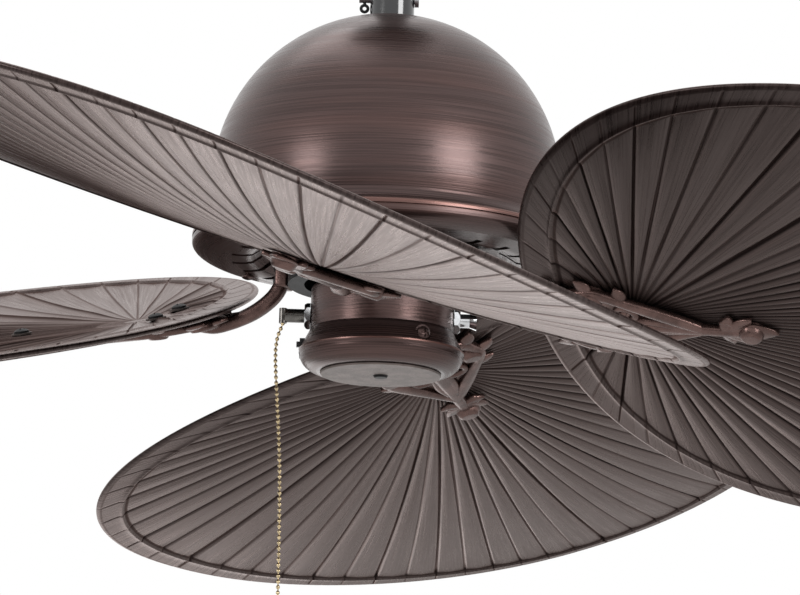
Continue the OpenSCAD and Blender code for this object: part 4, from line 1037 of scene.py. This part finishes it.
def look_from(hub):
    """The camera's matrix: it looks up at the hub, then tilts, turns and rolls a little."""
    forward, right = np.array([0, math.cos(BELOW), math.sin(BELOW)]), np.array([1.0, 0, 0])
    place = hub - forward * CAMERA_DISTANCE
    up = np.cross(right, forward)
    forward, up = turned(forward, up, TILT)
    forward, right = turned(forward, right, YAW)
    right, up = turned(right, up, ROLL)
    return Matrix([*np.column_stack([right, up, -forward, place]).tolist(), [0, 0, 0, 1]])


class FAN_OT_stage(bpy.types.Operator):
    """Makes the camera, the soft lamps, the pale floor and the white surroundings"""

    bl_idname = "fan.stage"
    bl_label = "Stage"

    def execute(self, context):
        scene = context.scene
        scene.view_settings.view_transform = "Standard"
        hub = np.array([0, 0, -scene.fan_sizes.hub_depth])
        self.camera(scene, hub)
        self.surroundings(scene)
        self.floor()
        for name, place, size, power in LAMPS:
            self.lamp(name, hub, hub + place, size, power)
        return {"FINISHED"}

    @staticmethod
    def camera(scene, hub):
        """The camera, where the photograph was taken from."""
        data = bpy.data.cameras.new("Camera")
        data.sensor_width = 36.0
        data.lens = CAMERA_LENS
        data.clip_start, data.clip_end = 0.1, 100.0
        scene.camera = new_object("Camera", data)
        scene.camera.matrix_world = look_from(hub)

    @staticmethod
    def surroundings(scene):
        """White where the camera or a shiny surface looks, and a soft grey light on the rest."""
        world = bpy.data.worlds.new("Surroundings")
        scene.world = world
        world.use_nodes = True
        g = Graph(world.node_tree)
        path = g.add("ShaderNodeLightPath").outputs
        seen = g.maths("MAXIMUM", path["Is Camera Ray"], path["Is Glossy Ray"])
        seen = g.maths("MAXIMUM", seen, path["Is Transmission Ray"])
        back = g.nodes["Background"].inputs
        back["Color"].default_value = (1, 1, 1, 1)
        g.feed(back["Strength"], g.span(seen, 0.0, 1.0, DIFFUSE_STRENGTH, SEEN_STRENGTH))

    @staticmethod
    def floor():
        """A pale floor far below, which shows nothing when it is seen from underneath."""
        g = new_material("Pale floor")
        g.paint(Base_Color=(0.9, 0.9, 0.89, 1), Roughness=0.9)
        both = g.add("ShaderNodeMixShader")
        g.feed(both.inputs[0], g.add("ShaderNodeNewGeometry").outputs["Backfacing"])
        g.feed(both.inputs[1], g.nodes["Principled BSDF"].outputs[0])
        g.feed(both.inputs[2], g.add("ShaderNodeBsdfTransparent").outputs[0])
        g.feed(g.nodes["Material Output"].inputs["Surface"], both.outputs[0])
        mesh = bpy.data.meshes.new("Floor")
        signs = ((-1, -1), (1, -1), (1, 1), (-1, 1))
        corners = [(x * FLOOR_HALF, y * FLOOR_HALF, FLOOR_LEVEL) for x, y in signs]
        mesh.from_pydata(corners, [], [(0, 1, 2, 3)])
        mesh.materials.append(g.material)
        floor = new_object("Floor", mesh)

    @staticmethod
    def lamp(name, hub, place, size, power):
        """A square lamp that faces the hub."""
        data = bpy.data.lights.new(name, "AREA")
        data.size = size
        data.energy = power
        toward = Vector((hub - place).tolist()).to_track_quat("-Z", "Y").to_matrix()
        lamp = new_object(name, data)
        lamp.matrix_world = Matrix.Translation(place.tolist()) @ toward.to_4x4()


class FAN_PT_panel(bpy.types.Panel):
    """Lists the fan's operators, sizes and colours"""

    bl_label = "Ceiling fan"
    bl_space_type = "VIEW_3D"
    bl_region_type = "UI"
    bl_category = "Fan"

    def draw(self, context):
        column = self.layout.column()
        for operator in OPERATORS:
            column.operator(operator.bl_idname)
        for group in (context.scene.fan_sizes, context.scene.fan_colours):
            for name in group.bl_rna.properties.keys():
                if name not in {"rna_type", "name"}:
                    column.prop(group, name)


OPERATORS = (FAN_OT_housing, FAN_OT_blades, FAN_OT_irons, FAN_OT_chain, FAN_OT_stage)
CLASSES = (FanSizes, FanColours, *OPERATORS, FAN_PT_panel)


def register():
    """Registers the classes and gives the scene its sizes and colours."""
    for each in CLASSES:
        bpy.utils.register_class(each)
    bpy.types.Scene.fan_sizes = PointerProperty(type=FanSizes)
    bpy.types.Scene.fan_colours = PointerProperty(type=FanColours)


def unregister():
    """Takes them all away again."""
    del bpy.types.Scene.fan_sizes
    del bpy.types.Scene.fan_colours
    for each in reversed(CLASSES):
        bpy.utils.unregister_class(each)


def main():
    """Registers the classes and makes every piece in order."""
    register()
    for operator in OPERATORS:
        area, name = operator.bl_idname.split(".")
        getattr(getattr(bpy.ops, area), name)()


if __name__ == "__main__":
    main()
